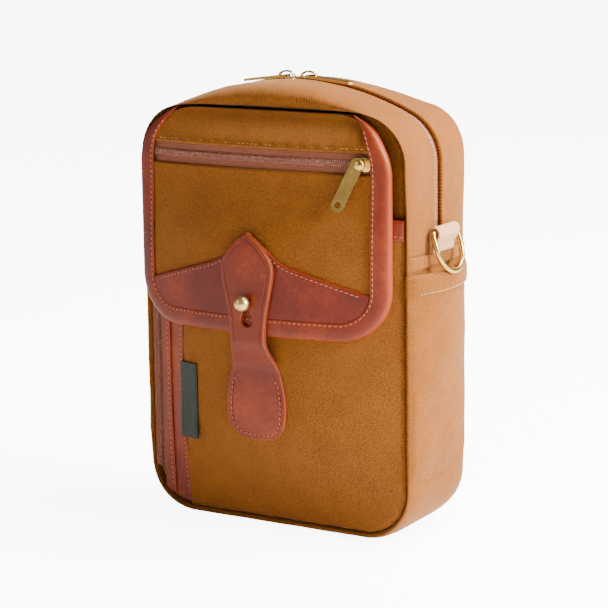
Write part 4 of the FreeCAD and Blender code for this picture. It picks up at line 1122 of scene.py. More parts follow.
def make_tab():
    """One strap of leather: rays from the stud out to its outline, open at the keyhole."""
    side = tab_side()
    outline = np.concatenate([side[::-1], side[1:-1] * (-1, 1)])
    centre = np.array([0, stud_z])
    rel = outline - centre
    angle = np.arctan2(rel[:, 0], -rel[:, 1])
    hole = keyhole_line(angle)
    start = centre + np.stack([np.sin(angle), -np.cos(angle)], -1) * hole[:, None]
    t = dense(56, 0.03)
    flat = start[:, None] + (outline - start)[:, None] * t[None, :, None]
    x, z = flat[..., 0], flat[..., 1]
    rim = gap_to(flat, outline, True)
    gap = gap_to(flat, start, True)
    round_edge = 1.0 * mm
    drop = rounding(np.minimum(rim, gap), round_edge) * 0.9
    crease = 0.28 * mm * np.exp(-((rim - 2.8 * mm) / (0.35 * mm)) ** 2)
    crease = crease * smooth((z - flap_bottom + 8 * mm) / (8 * mm))
    loop = 0.35 * mm * np.exp(-((rim - 3.4 * mm) / (0.9 * mm)) ** 2) * (z < tab_fold)
    relief = drop + crease + loop + 0.3 * mm * np.clip((np.abs(x) - 4 * mm) / (12 * mm), 0, 1) ** 2
    y = tab_face(z)
    front = placed(flap_x + x, y - tab_leather + relief, z)
    back = placed(flap_x + x, y, z)
    rows, columns = front.shape[:2]
    count = rows * columns
    verts = np.concatenate([front.reshape(-1, 3), back.reshape(-1, 3)])
    faces = [grid_faces(rows, columns, True), grid_faces(rows, columns, True, start=count)[:, ::-1]]
    index = np.arange(count).reshape(rows, columns)
    for ring, flip in ((index[:, 0], 1), (index[:, -1], -1)):
        after = np.roll(ring, -1)
        faces.append(np.stack([ring, after, after + count, ring + count], -1)[:, ::flip])
    uv = np.concatenate([flat.reshape(-1, 2)] * 2)
    made = outward(mesh_object("tab_leather_strap", verts, np.concatenate(faces), uv, leather))
    near = np.minimum(rim, gap).ravel()
    far_away = 99.0
    tooled = np.where(z.ravel() > flap_bottom - 8 * mm, rim.ravel(), far_away)
    attribute(made, "wear", np.concatenate([worn_by(near, 0.8 * mm)] * 2))
    attribute(made, "crease", np.concatenate([creased_by(tooled, 2.8 * mm)] * 2))
    start, end = ((flap_x, float(tab_face(level)), float(level)) for level in (tab_fold, flap_bottom))
    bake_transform(made)
    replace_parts(made, "tab_anchor", "tab_tongue")
    bulb_stitches(side)


def bulb_stitches(side):
    """A loop of stitches inside the bulb's edge, closed by an arch below the fold."""
    inset = 3.4 * mm
    loop_line = side[::-1][side[::-1, 1] < tab_fold - 8 * mm]
    middle = np.array([0, 74 * mm])
    shrink = 1 - inset / np.linalg.norm(loop_line - middle, axis=1, keepdims=True)
    right = middle + (loop_line - middle) * shrink
    top = right[-1]
    a = np.linspace(0, math.pi / 2, 14)[1:]
    arc = np.stack([top[0] * np.cos(a), top[1] + 10 * mm * np.sin(a)], -1)
    right = np.concatenate([right, arc])
    whole = np.concatenate([right, right[-2:0:-1] * (-1, 1), right[:1]])

    def bulb_face(x, z):
        return tab_face(z) + 0 * x

    stitch_run("tab_stitches", bulb_face, whole + (flap_x, 0), tab_leather - 0.25 * mm, thread, "pouch")


def capped(grid):
    """Rings of points closed at both ends by fans: vertices, quads and triangles."""
    rows, columns = grid.shape[:2]
    verts = np.concatenate([grid.reshape(-1, 3), [grid[0].mean(0), grid[-1].mean(0)]])
    j = np.arange(columns)
    n = (j + 1) % columns
    count = rows * columns
    first = np.stack([n, j, np.full(columns, count)], -1)
    base = count - columns
    last = np.stack([base + j, base + n, np.full(columns, count + 1)], -1)
    return verts, grid_faces(rows, columns, close_columns=True), np.concatenate([first, last])


def shells(name, grids, material):
    """One mesh from several closed shells, each of rings with fans at its ends."""
    verts, faces, start = [], [], 0
    for grid in grids:
        v, quads, fans = capped(grid)
        if shell_volume(v, quads, fans) < 0:
            quads, fans = quads[:, ::-1], fans[:, ::-1]
        verts.append(v)
        faces += (quads + start).tolist() + (fans + start).tolist()
        start += len(v)
    mesh = bpy.data.meshes.new(name)
    mesh.from_pydata(np.concatenate(verts).tolist(), [], faces)
    mesh.polygons.foreach_set("use_smooth", np.ones(len(mesh.polygons), bool))
    mesh.materials.append(material)
    return put_in(name, mesh)


def shell_volume(verts, quads, fans):
    triangles = np.concatenate([quads[:, :3], quads[:, [0, 2, 3]], fans])
    a, b, c = verts[triangles].transpose(1, 0, 2)
    return np.einsum("ij,ij->", a, np.cross(b, c))


def lathe_grid(profile, centre, axis, sides):
    """Rings of a turned piece: profile gives (distance along the axis, radius)."""
    axis = np.array(axis, float) / np.linalg.norm(axis)
    help_way = np.array([0, 0, 1.0]) if abs(axis[2]) < 0.9 else np.array([1.0, 0, 0])
    u = np.cross(axis, help_way)
    u /= np.linalg.norm(u)
    v = np.cross(axis, u)
    a = np.linspace(0, TAU, sides, endpoint=False)
    profile = np.array(profile, float)
    ring = np.cos(a)[:, None] * u + np.sin(a)[:, None] * v
    return np.array(centre) + profile[:, None, :1] * axis + np.maximum(profile[:, None, 1:], 0.02 * mm) * ring


def plate_grid(origin, along, across, up, length, width, low, high):
    """A plate with a rounded outline and softened faces, between two levels."""
    square = 0.55
    a = np.linspace(0, TAU, 48, endpoint=False)
    c, d = np.cos(a), np.sin(a)
    x = length / 2 * squared(c, square)
    y = width / 2 * squared(d, square) * (1 + 0.12 * c)
    soft = 0.32 * (high - low)
    below = [(0.02, low), (0.9, low), (0.98, low + soft * 0.4), (1, low + soft)]
    levels = below + [(s, low + high - z) for s, z in reversed(below)]
    rows = [origin + s * (x[:, None] * along + y[:, None] * across) + z * up for s, z in levels]
    return np.array(rows)


def arch_grid(origin, along, across, up, path, width, thick):
    """A rounded bar swept along a path of (run, level) points."""
    fine = through(path, 40)
    way = unit(np.gradient(fine, axis=0))
    normal = np.stack([-way[:, 1], way[:, 0]], -1)
    a = np.linspace(0, TAU, 20, endpoint=False)
    b = width / 2 * squared(np.cos(a), 0.8)
    n = thick / 2 * np.sin(a)
    rows = []
    for point, lift in zip(fine, normal):
        flat = point + n[:, None] * lift
        rows.append(origin + flat[:, :1] * along + b[:, None] * across + flat[:, 1:] * up)
    return np.array(rows)


def carried(grids, body, name, node, material, uv):
    """A closed piece from front and back grids that rides a body and stands for a node."""
    made = closed_slab(name, *grids, uv, material)
    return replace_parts(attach(made, body), node)


def ring_of_wire(name, path, radius, material, body, node):
    """A round wire along a closed path of points."""
    sides = 20
    way = unit(np.roll(path, -1, 0) - np.roll(path, 1, 0))
    middle = path.mean(0)
    normal = unit(np.cross(way, np.cross(path - middle, way)))
    side = np.cross(way, normal)
    a = np.linspace(0, TAU, sides, endpoint=False)
    around = np.cos(a)[None, :, None] * normal[:, None] + np.sin(a)[None, :, None] * side[:, None]
    grid = path[:, None] + radius * around
    uv = np.zeros((len(path) * sides, 2))
    faces = grid_faces(len(path), sides, close_rows=True, close_columns=True)
    made = outward(mesh_object(name, grid.reshape(-1, 3), faces, uv, material))
    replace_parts(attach(made, body), node)


# ------------------------------------------------------------ sides
def side_bow(y, z):
    """How far a side pocket stands off the gusset: nothing at its base, most at the middle of its mouth."""
    half = panel_face - 1 * mm
    return 6 * mm * np.clip(1 - (y / half) ** 2, 0, 1) * smooth((z - 34 * mm) / (116 * mm))


def side_section():
    """The gusset's section at the straight of the side: places from the front seam to the rear seam.

    Each is (share of the way from seam to side, depth), with the outward way in the same plane.
    """
    share, height, behind = roll_profile()
    front = np.stack([share, -seam_y - rolled * height + roll_back * behind], -1)
    rear = np.stack([share, seam_y + rolled * height - rear_back * behind], -1)
    flank = np.linspace(roll_back - seam_y, seam_y - rear_back, 44)[1:-1]
    middle = np.stack([np.ones_like(flank), flank], -1)
    line = np.concatenate([front[9:], middle, rear[9:][::-1]])
    x = seam_half - visible_seam + (half_width - seam_half + visible_seam) * line[:, 0]
    flat = np.stack([x, line[:, 1]], -1)
    way = np.gradient(flat, axis=0)
    out = unit(np.stack([way[:, 1], -way[:, 0]], -1))
    return flat, out


def wrapped(name, node, side, z, near, far, bow, material):
    """Cloth wrapped round the side from seam to seam, between two distances off the gusset."""
    flat, out = side_section()
    run = run_along(flat)
    taper = smooth(np.minimum(run, run[-1] - run) / (5 * mm))
    grids = []
    for off in (far, near):
        lift = off(z[:, None], run[None, :]) * (0.25 + 0.75 * taper)
        x = flat[None, :, 0] + out[None, :, 0] * lift + bow(flat[None, :, 1], z[:, None])
        y = flat[None, :, 1] + out[None, :, 1] * lift
        grids.append(placed(side * x, y, z[:, None]))
    uv = crossed(run, z)
    made = closed_slab(name, grids[0], grids[1], uv, material)
    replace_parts(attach(made, "pouch"), node)


def make_sides():
    """Open pockets at both sides with turned hems, a canvas band above each, and the ring's tab."""
    for side, word in ((-1, "left"), (1, "right")):
        low, high = corners(f"side_pocket_{word}")
        hem_low, hem_high = (corner[2] for corner in corners(f"side_hem_{word}"))
        hem_high = hem_high + 0.4 * mm
        band_low, band_high = (corner[2] for corner in corners(f"side_band_{word}"))

        def cloth(z, run):
            edge = z - low[2]
            puckers = 0.2 * mm * np.sin(run * TAU / (9 * mm)) * np.exp(-edge / (5 * mm))
            puckers = puckers * smooth(edge / (3 * mm))
            loose = ripple(run, z, 0.4 * mm, 8 + side) * smooth(edge / (20 * mm))
            body = 0.5 * mm - rounding(edge, 0.3 * mm) + 1.4 * mm * smooth(edge / (14 * mm))
            return body + puckers + loose

        def hem(z, run):
            share = np.clip((z - hem_low) / (hem_high - hem_low), 0, 1)
            body = 1.3 * mm * np.sqrt(np.clip(1 - (2 * share - 1) ** 4, 0, 1))
            return 1.9 * mm + body + 0.15 * mm * np.sin(run * TAU / (6 * mm)) * (1 - share)

        def band(z, run):
            edge = np.minimum(z - band_low, band_high - z)
            return 1.5 * mm - rounding(edge, 1.2 * mm) + 0.12 * mm * np.sin(run * TAU / (8 * mm))

        def under(z, run):
            return 0.15 * mm + 0 * z * run

        def flat_bow(y, z):
            return 0 * y * z

        z = spread(low[2], high[2], 90, 0.012)
        wrapped(f"side_pocket_{word}_cloth", f"side_pocket_{word}", side, z, under, cloth, side_bow, canvas)
        z = spread(hem_low, hem_high, 16, 0.07)
        wrapped(f"side_hem_{word}_cloth", f"side_hem_{word}", side, z, under, hem, side_bow, canvas)
        z = spread(band_low, band_high, 14, 0.15)
        wrapped(f"side_band_{word}_cloth", f"side_band_{word}", side, z, under, band, flat_bow, canvas)
        line_z = hem_low + 1.2 * mm
        count = 22
        ys = np.linspace(-27 * mm, 27 * mm, count)
        x = side * (half_width + side_bow(ys, line_z + 0 * ys) + 3.05 * mm)
        points = placed(x, ys, line_z)
        way = unit(np.gradient(points, axis=0))
        sewn(
            f"side_hem_{word}_stitches", points, way, np.tile([side, 0, 0.0], (count, 1)), thread_tan,
            "pouch", 1.9 * mm, 0.24 * mm,
        )
        make_ring_tab(side, word)


def make_ring_tab(side, word):
    """Webbing sewn to the side, up, round the ring's bar and down again."""
    pivot = joint_place(f"{word}_ring_swing")
    bar_x, bar_z = abs(pivot[0]), pivot[2]
    foot = corners(f"ring_tab_{word}")[0][2]
    inner = bar_x - half_width - 0.2 * mm
    thick = 1.5 * mm
    a = np.linspace(0, math.pi, 26)
    down = np.linspace(foot, bar_z, 16, endpoint=False)
    centre_line = np.concatenate([
        np.stack([half_width + 0.2 * mm + thick / 2 + 0 * down, down], -1),
        np.stack([bar_x - (inner - thick / 2) * np.cos(a), bar_z + (inner - thick / 2) * np.sin(a)], -1),
        np.array([
            (bar_x + inner - thick / 2 - 0.1 * mm, bar_z - 1.5 * mm), (bar_x + 1.3 * mm, bar_z - 4 * mm),
            (half_width + 2.9 * mm, bar_z - 7 * mm), (half_width + 2.5 * mm, foot),
        ]),
    ])
    fine = through(centre_line, 110)
    way = np.gradient(fine, axis=0)
    normal = unit(np.stack([-way[:, 1], way[:, 0]], -1))
    y = 12 * mm * (2 * dense(26, 0.03) - 1)
    thin = rounding(12 * mm - np.abs(y), 0.7 * mm) * 0.8
    run = run_along(fine)
    sheets = []
    for sign in (1, -1):
        off = sign * (thick / 2 - thin[None, :])
        x = fine[:, :1] + normal[:, :1] * off
        z = fine[:, 1:] + normal[:, 1:] * off
        sheets.append(placed(side * x, y[None, :] + 0 * x, z))
    uv = crossed(y, run)
    carried(sheets, "pouch", f"ring_strap_{word}", f"ring_tab_{word}", webbing, uv)
    make_ring(side, word, bar_x, bar_z)


def make_ring(side, word, bar_x, bar_z):
    """A wire bent to a D with rounded corners, leaning over the side pocket."""
    wide, drop, corner, wire_radius = 14 * mm, 22.5 * mm, 2 * mm, 1.5 * mm
    lean = math.radians(17)
    low = drop - wide
    flat = chain(
        straight((-wide + corner, 0), (wide - corner, 0), 30),
        bend((wide - corner, -corner), corner, 90, 0, 10),
        straight((wide, -corner), (wide, -low), 10),
        bend((0, -low), wide, 0, -180, 60),
        straight((-wide, -low), (-wide, -corner), 10),
        bend((-wide + corner, -corner), corner, 180, 90, 10),
    )[0]
    path = placed(
        side * (bar_x - flat[:, 1] * math.sin(lean)), flat[:, 0], bar_z + flat[:, 1] * math.cos(lean),
    )
    ring_of_wire(f"ring_wire_{word}", path, wire_radius, brass, f"ring_{word}", f"ring_{word}")


# ------------------------------------------------------------ zips
def zip_teeth(name, points, ways, ups, wide, body, material, height=0.7 * mm, thick=0.42 * mm):
    """One small arched tooth at each point, across its way and raised along up."""
    a = np.linspace(0, math.pi, 6)
    arch = np.stack([np.cos(a) * wide / 2, np.sin(a) * height], -1)
    inner = np.stack([np.cos(a) * (wide / 2 - 0.45 * mm), np.sin(a) * (height - 0.3 * mm) - 0.15 * mm], -1)
    loop = np.concatenate([arch, inner[::-1]])
    sides = np.cross(ups, ways)
    n = len(loop)
    shape = np.concatenate([np.column_stack([np.full(n, level), loop]) for level in (-thick / 2, thick / 2)])
    j = np.arange(n)
    k = (j + 1) % n
    around = np.stack([j, k, k + n, j + n], -1)
    half = np.arange(5)
    caps = np.stack([half, half + 1, n - 2 - half, n - 1 - half], -1)
    quads = np.concatenate([around[:, ::-1], caps, caps[:, ::-1] + n])
    verts, faces = copies(shape, quads, points, ways, sides, ups)
    made = outward(mesh_object(name, verts, faces, None, material))
    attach(made, body)
    return made


def over_zip(s, depth):
    """Places s along the main zip from its right end, a depth below the outline, with the ways there."""
    (line, out, run), _ = outline_pair("upper")
    flat = np.stack([np.interp(s, run, line[:, k]) for k in (0, 1)], -1)
    lift = np.stack([np.interp(s, run, out[:, k]) for k in (0, 1)], -1)
    lift = unit(lift)
    flat = flat - lift * depth
    up = placed(lift[:, 0], 0 * s, lift[:, 1])
    way = placed(-lift[:, 1], 0 * s, lift[:, 0])
    return flat, way, up


def zip_length():
    return outline_pair("upper")[0][2][-1]


def crown_point(s, height, y):
    """A place on the crown at a run s to the right of the middle and a height over the outline."""
    a = s / crown_radius
    r = crown_radius + height
    point = placed(r * np.sin(a), y + 0 * a, crown_centre + r * np.cos(a))
    return point, placed(np.cos(a), 0 * a, -np.sin(a)), placed(np.sin(a), 0 * a, np.cos(a))


def make_main_teeth():
    """Coil teeth over the crown and down both shoulders, the two rows meshed in the middle."""
    pitch = 1.3 * mm
    for word, side, phase in (("front", -1, 0.25), ("rear", 1, 0.75)):
        s = np.arange(pitch, zip_length() - pitch, pitch) + phase * pitch
        flat, way, up = over_zip(s, 2.6 * mm)
        points = placed(flat[:, 0], side * 0.8 * mm, flat[:, 1])
        made = zip_teeth(
            f"main_teeth_{word}", points, way, up, 3.0 * mm, "pouch", coil_nylon, 1.1 * mm, 0.62 * mm,
        )
        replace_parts(made, f"main_coil_{word}")


def make_flap_teeth():
    """Teeth of the flap's zip, along its arc."""
    middle = (window_low + window_high) / 2
    reach = flap_reach - 11 * mm
    x = np.arange(-reach, reach, 1.05 * mm)
    for word, side, phase in (("lower", -1, 0.0), ("upper", 1, 0.5)):
        xs = x + phase * 1.05 * mm + flap_x
        zs = middle + side * 0.75 * mm + 0 * xs
        points, along, up = on_face(
            flap_front, np.stack([xs, zs], -1), np.stack([1 + 0 * xs, 0 * xs], -1), 7.7 * mm,
        )
        made = zip_teeth(
            f"flap_teeth_{word}", points, along, up, 2.4 * mm, "flap", coil_nylon, 0.85 * mm, 0.5 * mm,
        )
        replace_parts(made, f"flap_coil_{word}")


def make_pocket_teeth():
    """Teeth of the pocket's zip, straight up beside the guard."""
    low, high = corners("pocket_coil_inner")
    middle = (corners("pocket_coil_inner")[0][0] + corners("pocket_coil_outer")[1][0]) / 2
    z = np.arange(low[2], high[2], 1.0 * mm)
    for word, side, phase in (("inner", 1, 0.0), ("outer", -1, 0.5)):
        points = placed(middle + side * 0.6 * mm, -panel_face - 2.1 * mm, z + phase * mm)
        way = np.tile([0, 0, 1.0], (len(z), 1))
        up = np.tile([0, -1.0, 0], (len(z), 1))
        made = zip_teeth(
            f"pocket_teeth_{word}", points, way, up, 1.9 * mm, "pouch", coil_nylon, 0.8 * mm, 0.45 * mm,
        )
        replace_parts(made, f"pocket_coil_{word}")


# ------------------------------------------------------------ fittings carried over
def skin(node, material, slot, bevel):
    """A node's own faces, given a material and softened edges."""
    made = frame["nodes"][node]
    made.data.materials.clear()
    made.data.materials.append(material)
    softened = made.modifiers.new("edges", "BEVEL")
    softened.width = bevel
    softened.segments = 3
    softened.limit_method = "ANGLE"
    softened.angle_limit = math.radians(32)
    softened.harden_normals = False
    return made


# ------------------------------------------------------------ tapes
def make_tapes():
    """Woven tapes under the teeth: along the crown, along the flap's window and down the pocket's side."""
    s = np.linspace(0, zip_length(), 260)
    for word, side in (("front", -1), ("rear", 1)):
        low, high = corners(f"main_tape_{word}")
        near = min(abs(low[1]), abs(high[1]))
        y = side * np.linspace(near, near + tape_width, 12)
        wave = 0.1 * mm * np.sin(s * TAU / (19 * mm))
        grids = []
        for depth in (2.7 * mm, 3.2 * mm):
            sunk = depth + 1.0 * mm * smooth((np.abs(y) - 4 * mm) / (2 * mm))[None, :]
            flat = [over_zip(s, float(sunk[0, k]))[0] for k in range(len(y))]
            flat = np.stack(flat, 1)
            grids.append(placed(flat[..., 0], y[None, :] + wave[:, None], flat[..., 1]))
        uv = crossed(y, s)
        carried(grids, "pouch", f"main_zip_tape_{word}", f"main_tape_{word}", tape_weave, uv)
    gap = 0.6 * mm
    middle = (window_low + window_high) / 2
    for word, z0, z1 in (
        ("lower", window_low - 0.2 * mm, middle - gap), ("upper", middle + gap, window_high + 0.2 * mm),
    ):
        z = np.linspace(z0, z1, 10)
        half = float(flap_half_at(middle, 3 * mm))
        x, zz = np.meshgrid(flap_x + np.linspace(-half, half, 160), z)
        front = placed(x, flap_front(x, zz) - 7.6 * mm, zz)
        back = placed(x, flap_front(x, zz) - 7.1 * mm, zz)
        carried(
            (front, back), "flap", f"flap_zip_tape_{word}", f"flap_tape_{word}", tape_weave,
            np.stack([zz, x], -1),
        )
    for word in ("inner", "outer"):
        low, high = corners(f"pocket_tape_{word}")
        z = np.linspace(low[2], high[2], 120)
        r = seam_radius
        inside = -seam_half + r - np.sqrt(r * r - np.clip(seam_bottom + r - z, 0, r) ** 2) + 0.2 * mm
        left = np.maximum(low[0], inside)
        x = left[:, None] + np.maximum(high[0] - left, 0.2 * mm)[:, None] * np.linspace(0, 1, 8)
        zz = grid_of(z, x)
        wave = 0.1 * mm * np.sin(zz * TAU / (17 * mm))
        front = placed(x, -panel_face - 2.0 * mm + wave, zz)
        back = placed(x, -panel_face - 0.4 * mm, zz)
        carried(
            (front, back), "pouch", f"pocket_zip_tape_{word}", f"pocket_tape_{word}", tape_weave,
            np.stack([x, zz], -1),
        )


# ------------------------------------------------------------ label, belt loop and what is inside
def make_label():
    """A plain ribbon folded double, its ends in the guard's seam and its fold free."""
    low, high = corners("label")
    z = low[2] + 0.4 * mm + (high[2] - low[2] - 0.8 * mm) * dense(50, 0.01)
    start = np.array([low[0] + 0.4 * mm, high[1] - 0.5 * mm])
    tip = np.array([high[0] - 1.6 * mm, low[1] + 1.6 * mm])
    way = unit(tip - start)
    side = np.array([way[1], -way[0]])
    a = np.linspace(-math.pi / 2, math.pi / 2, 12)
    half = 0.95 * mm
    nose = tip + half * (np.cos(a)[:, None] * way + np.sin(a)[:, None] * side)
    length = np.linalg.norm(tip - start)
    t = np.linspace(0, 1, 14)[:-1, None]
    under, over = (start + sign * half * side + way * length * t for sign in (-1, 1))
    line = np.concatenate([under, nose, over[::-1]])
    step = np.gradient(line, axis=0)
    normal = unit(np.stack([step[:, 1], -step[:, 0]], -1))
    sag = 0.35 * mm * np.sin(z * TAU / (60 * mm))[:, None]
    grids = []
    for off in (0.25 * mm, -0.25 * mm):
        flat = line + normal * off
        grids.append(placed(flat[None, :, 0] + 0 * sag, flat[None, :, 1] + sag, z[:, None]))
    run = run_along(line)
    uv = crossed(run, z)
    carried(grids, "pouch", "ribbon_label", "label", label_satin, uv)


def make_belt_loop():
    """Webbing down the back, sewn at both ends and bowed out between them."""
    low, high = corners("belt_loop")
    z = spread(low[2], high[2], 110, 0.006)
    x = spread(low[0], high[0], 40, 0.02)
    xx, zz = np.meshgrid(x, z)
    inner = smooth((np.minimum(zz - low[2], high[2] - zz) - 12 * mm) / (9 * mm))
    bow = panel_face + 1.7 * mm + 5.0 * mm * inner
    thin = rounding(np.minimum(np.abs(xx - low[0]), np.abs(high[0] - xx)), 0.8 * mm) * 0.8
    thin = thin + rounding(np.minimum(zz - low[2], high[2] - zz), 0.8 * mm) * 0.5
    front = placed(xx, bow + 2 * mm - thin, zz)
    back = placed(xx, bow + thin * 0.3, zz)
    carried(
        (front, back), "pouch", "belt_loop_strap", "belt_loop", belt_webbing,
        np.stack([xx, zz], -1),
    )
    for word, level in (
        ("low", low[2] + 3 * mm), ("low_upper", low[2] + 10 * mm), ("high_lower", high[2] - 10 * mm),
        ("high", high[2] - 3 * mm),
    ):
        count = 11
        xs = np.linspace(low[0] + 2 * mm, high[0] - 2 * mm, count)
        points = placed(xs, panel_face + 3.75 * mm, level + 0 * xs)
        sewn(
            f"belt_stitches_{word}", points, np.tile([1.0, 0, 0], (count, 1)),
            np.tile([0, 1.0, 0], (count, 1)), thread_tan, "pouch", 2.9 * mm, 0.34 * mm,
        )


def shell_half(z, inset):
    """Half the pouch's width at a height, in from its outline."""
    r = foot_radius - inset
    low = np.clip((inset + r - z) / r, 0, 1)
    high_r = shoulder_radius - inset
    high = np.clip((z - corner_z) / high_r, 0, 1)
    half = half_width - inset
    return half - r * (1 - np.sqrt(1 - low**2)) - high_r * (1 - np.sqrt(1 - high**2))


def make_inside():
    """Pads against both faces and the base, a stiff board, and the lining's open bag."""
    for node in ("front_pad", "rear_pad"):
        low, high = corners(node)
        z = spread(low[2], high[2], 60, 0.01)
        half = np.minimum((high[0] - low[0]) / 2, shell_half(z, 7.2 * mm))
        t = 2 * dense(50, 0.012) - 1
        x = half[:, None] * t
        zz = grid_of(z, x)
        edge = rounding(
            np.minimum(half[:, None] - np.abs(x), np.minimum(zz - low[2], high[2] - zz)), 1.5 * mm,
        )
        inward, outer = (high[1], low[1]) if node == "front_pad" else (low[1], high[1])
        sign = 1 if node == "front_pad" else -1
        front = placed(x, inward - sign * edge, zz)
        made = carried(
            (front, placed(x, outer, zz)), "pouch", f"{node}_foam", node, foam,
            np.stack([x, zz], -1),
        )
    for node, material, slot, edge_radius in (
        ("base_pad", foam, "foam", 1.2 * mm), ("base_board", board, "stiffener", 0.3 * mm),
    ):
        low, high = corners(node)
        x, y = np.meshgrid(spread(low[0], high[0], 50, 0.01), spread(low[1], high[1], 30, 0.02))
        edge = np.minimum(np.minimum(x - low[0], high[0] - x), np.minimum(y - low[1], high[1] - y))
        made = carried(
            (placed(x, y, high[2] - rounding(edge, edge_radius)), placed(x, y, low[2])), "pouch",
            f"{node}_piece", node, material, np.stack([x, y], -1),
        )
    low, high = corners("lining")
    a = np.linspace(0, TAU, 120, endpoint=False)
    power = 0.28
    loop = squared(np.stack([np.cos(a), np.sin(a)], -1), power)
    depth = (high[1] - low[1]) / 2
    grids = []
    for inset in (0.0, 0.6 * mm):
        floor = np.linspace(0.02, 1, 14)
        z = np.concatenate([np.full(14, low[2] + inset), np.linspace(low[2] + 2 * mm, high[2], 70)])
        half = np.minimum(
            (high[0] - low[0]) / 2, shell_half(np.maximum(z, low[2] + 2 * mm), 5.2 * mm),
        ) - inset
        scale = np.concatenate([floor * 0.985, np.ones(70)])
        fold = 0.25 * mm * np.sin(5 * a)[None, :] * smooth((z - low[2]) / (60 * mm))[:, None]
        x = half[:, None] * scale[:, None] * loop[None, :, 0] - np.abs(fold) * loop[None, :, 0]
        y = (depth - inset) * scale[:, None] * loop[None, :, 1] - np.abs(fold) * loop[None, :, 1]
        grids.append(placed(x, y, z[:, None] + 0 * x))
    whole = np.concatenate([grids[0], grids[1][::-1]])
    rows, columns = whole.shape[:2]
    run = run_along(whole[:, 0])
    uv = np.stack(np.broadcast_arrays(a[None, :] * 60 * mm, run[:, None]), -1).reshape(-1, 2)
    faces = grid_faces(rows, columns, True, True)
    made = outward(mesh_object("lining_bag", whole.reshape(-1, 3), faces, uv, lining_cloth))
    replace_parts(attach(made, "pouch"), "lining")


def make_sliders():
    """Sliders: two plates joined by a web, and an arched bridge over the upper plate."""
    for word in ("left", "right"):
        x, _, z = joint_place(f"{word}_pull_lift")
        angle = math.atan2(x, z - crown_centre)
        origin, along, up = (v[0] for v in crown_point(np.array([angle * crown_radius]), 0.0, 0.0))
        across = np.cross(up, along)
        basis = (origin, along, across, up)
        rise = [(5.1 * mm, -0.2 * mm), (4.7 * mm, 1.7 * mm), (3.1 * mm, 3.4 * mm)]
        bridge = [(-run, level) for run, level in rise] + [(0, 4.1 * mm)] + rise[::-1]
        grids = [
            plate_grid(*basis, 12.6 * mm, 7.6 * mm, -1.1 * mm, 0.2 * mm),
            plate_grid(*basis, 12.6 * mm, 7.6 * mm, -5.1 * mm, -4.1 * mm),
            plate_grid(*basis, 12.0 * mm, 0.7 * mm, -4.3 * mm, -0.9 * mm),
            arch_grid(*basis, bridge, 2.6 * mm, 1.2 * mm),
        ]
        made = shells(f"main_slider_{word}", grids, brass)
        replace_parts(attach(made, f"{word}_slider"), f"{word}_slider")
    flat = np.array([[joint_place("flap_pull_swing")[0], (window_low + window_high) / 2]])
    at, along, up = (v[0] for v in on_face(flap_front, flat, np.array([[1.0, 0.0]]), 0.0))
    across = np.cross(up, along)
    basis = (at, along, across, up)
    dome = np.array([
        (9.6, 1.2), (12.4, 1.2), (12.45, 2.2), (12.7, 2.7),
        (13.1, 2.75), (13.5, 2.4), (13.8, 1.6), (13.9, 0.5),
    ]) * mm
    grids = [
        plate_grid(*basis, 10.5 * mm, 7.6 * mm, 9.05 * mm, 10.15 * mm),
        plate_grid(*basis, 10 * mm, 7.0 * mm, 5.95 * mm, 6.75 * mm),
        plate_grid(*basis, 9.6 * mm, 0.5 * mm, 6.6 * mm, 9.3 * mm),
        lathe_grid(dome, at, up, 32),
    ]
    made = shells("flap_zip_slider", grids, brass)
    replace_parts(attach(made, "flap_slider"), "flap_slider")


def make_fittings():
    """Metal pieces: softened edges over the frame's own shapes, and a turned stud."""
    for node in ("left_pull", "right_pull", "flap_pull", "pocket_slider", "pocket_pull"):
        skin(node, brass, "brass", 0.28 * mm)
    skin("stud_screw", brass, "brass", 0.2 * mm)
    low, high = corners("stud")
    head = (high[0] - low[0]) / 2
    centre = np.array([(low[0] + high[0]) / 2, low[1] + head, stud_z])
    back = high[1] - centre[1]
    a = np.linspace(0, math.radians(152), 34)
    ball = np.stack([head * 0.93 * np.cos(a), head * np.sin(a)], -1)
    neck = 2.1 * mm
    pin = 1.5 * mm
    shank = [
        (-head - 0.2 * mm, neck), (-head - 2.6 * mm, neck), (-head - 3.0 * mm, neck * 1.05),
        (-back + 5.2 * mm, neck), (-back + 5.0 * mm, pin), (-back, pin),
    ]
    profile = ball.tolist() + shank
    made = shells("ball_stud", [lathe_grid(profile, centre, (0, -1, 0), 48)], brass_pale)
    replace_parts(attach(made, "flap"), "stud")


# ------------------------------------------------------------ build
make_shell()
make_panels()
make_front_pocket()
make_guard()
make_flap_cloth()
make_flap_binding()
make_yoke()
make_tab()
make_sides()
make_main_teeth()
make_flap_teeth()
make_pocket_teeth()
make_tapes()
make_label()
make_belt_loop()
make_inside()
make_sliders()
make_fittings()

# ------------------------------------------------------------ floor, light and camera
world = bpy.data.worlds.new("studio")
bpy.context.scene.world = world
world.use_nodes = True
sky = world.node_tree
dim = sky.nodes["Background"]
dim.inputs[0].default_value = (1, 1, 1, 1)
dim.inputs[1].default_value = 0.2
backdrop_glow = 8.0
behind = add(sky, "ShaderNodeBackground", in_0=(1, 1, 1, 1), in_1=backdrop_glow)
choice = add(sky, "ShaderNodeMixShader")
wire(sky, add(sky, "ShaderNodeLightPath").outputs["Is Camera Ray"], choice.inputs[0])
wire(sky, dim.outputs[0], choice.inputs[1])
wire(sky, behind.outputs[0], choice.inputs[2])
wire(sky, choice.outputs[0], sky.nodes["World Output"].inputs[0])

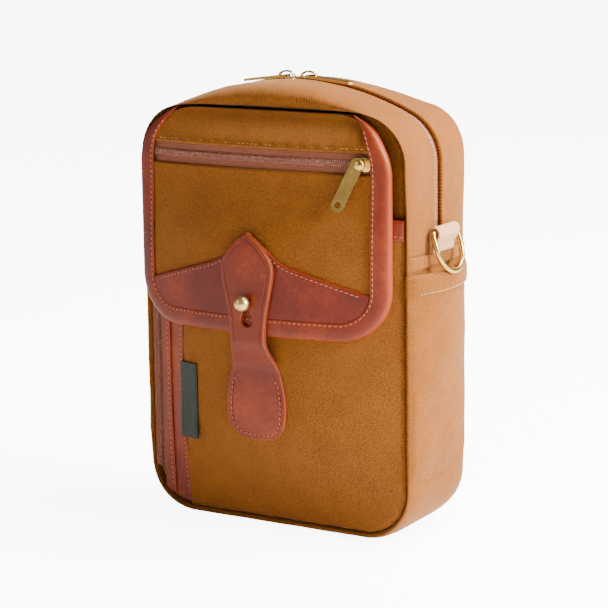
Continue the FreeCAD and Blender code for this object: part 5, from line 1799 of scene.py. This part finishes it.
floor_mesh = bpy.data.meshes.new("floor")
floor_half = 14
floor_corners = [(x * floor_half, y * floor_half, 0) for x, y in ((-1, -1), (1, -1), (1, 1), (-1, 1))]
floor_mesh.from_pydata(floor_corners, [], [(0, 1, 2, 3)])
floor = put_in("floor", floor_mesh)
floor_paint, floor_tree, floor_main = shader("floor_paint", 0.9)
floor_main.inputs["Base Color"].default_value = (0.93, 0.93, 0.93, 1)
floor_main.inputs["Emission Color"].default_value = (1, 1, 1, 1)
seen = add(floor_tree, "ShaderNodeLightPath").outputs["Is Camera Ray"]
wire(floor_tree, calc(floor_tree, "MULTIPLY", seen, backdrop_glow), floor_main.inputs["Emission Strength"])
floor_mesh.materials.append(floor_paint)


def lamp(name, place, aim, energy, size, colour=(1, 1, 1)):
    """A square soft light that faces a point."""
    light = bpy.data.lights.new(name, "AREA")
    light.energy = energy
    light.size = size
    light.color = colour
    made = put_in(name, light)
    made.location = place
    made.rotation_euler = (Vector(aim) - Vector(place)).to_track_quat("-Z", "Y").to_euler()
    return made


middle_height = (0, 0, 0.12)
warm = (1.0, 0.96, 0.9)
lamp("key", (1.45, 0.1, 0.85), middle_height, 96, 0.6, warm)
lamp("fill", (-1.2, -1.4, 0.8), middle_height, 9, 1.2, warm)
lamp("top", (0.55, 0.5, 1.35), middle_height, 66, 0.8, (1.0, 0.97, 0.92))

azimuth, pitch, roll = math.radians(31), math.radians(11.3), math.radians(-0.8)
target = np.array([-2.3, 4, 121.3]) * mm
distance = 1.271
back = np.array([math.sin(azimuth) * math.cos(pitch), -math.cos(azimuth) * math.cos(pitch), math.sin(pitch)])
right = np.array([math.cos(azimuth), math.sin(azimuth), 0])
up = np.cross(back, right)
across = math.cos(roll) * right + math.sin(roll) * up
upward = math.cos(roll) * up - math.sin(roll) * right
view = bpy.data.cameras.new("view")
view.lens = 132.45
view.sensor_width = 36
camera = put_in("view", view)
place = target + back * distance
camera.matrix_world = Matrix([[across[i], upward[i], back[i], place[i]] for i in range(3)] + [[0, 0, 0, 1]])
bpy.context.scene.camera = camera
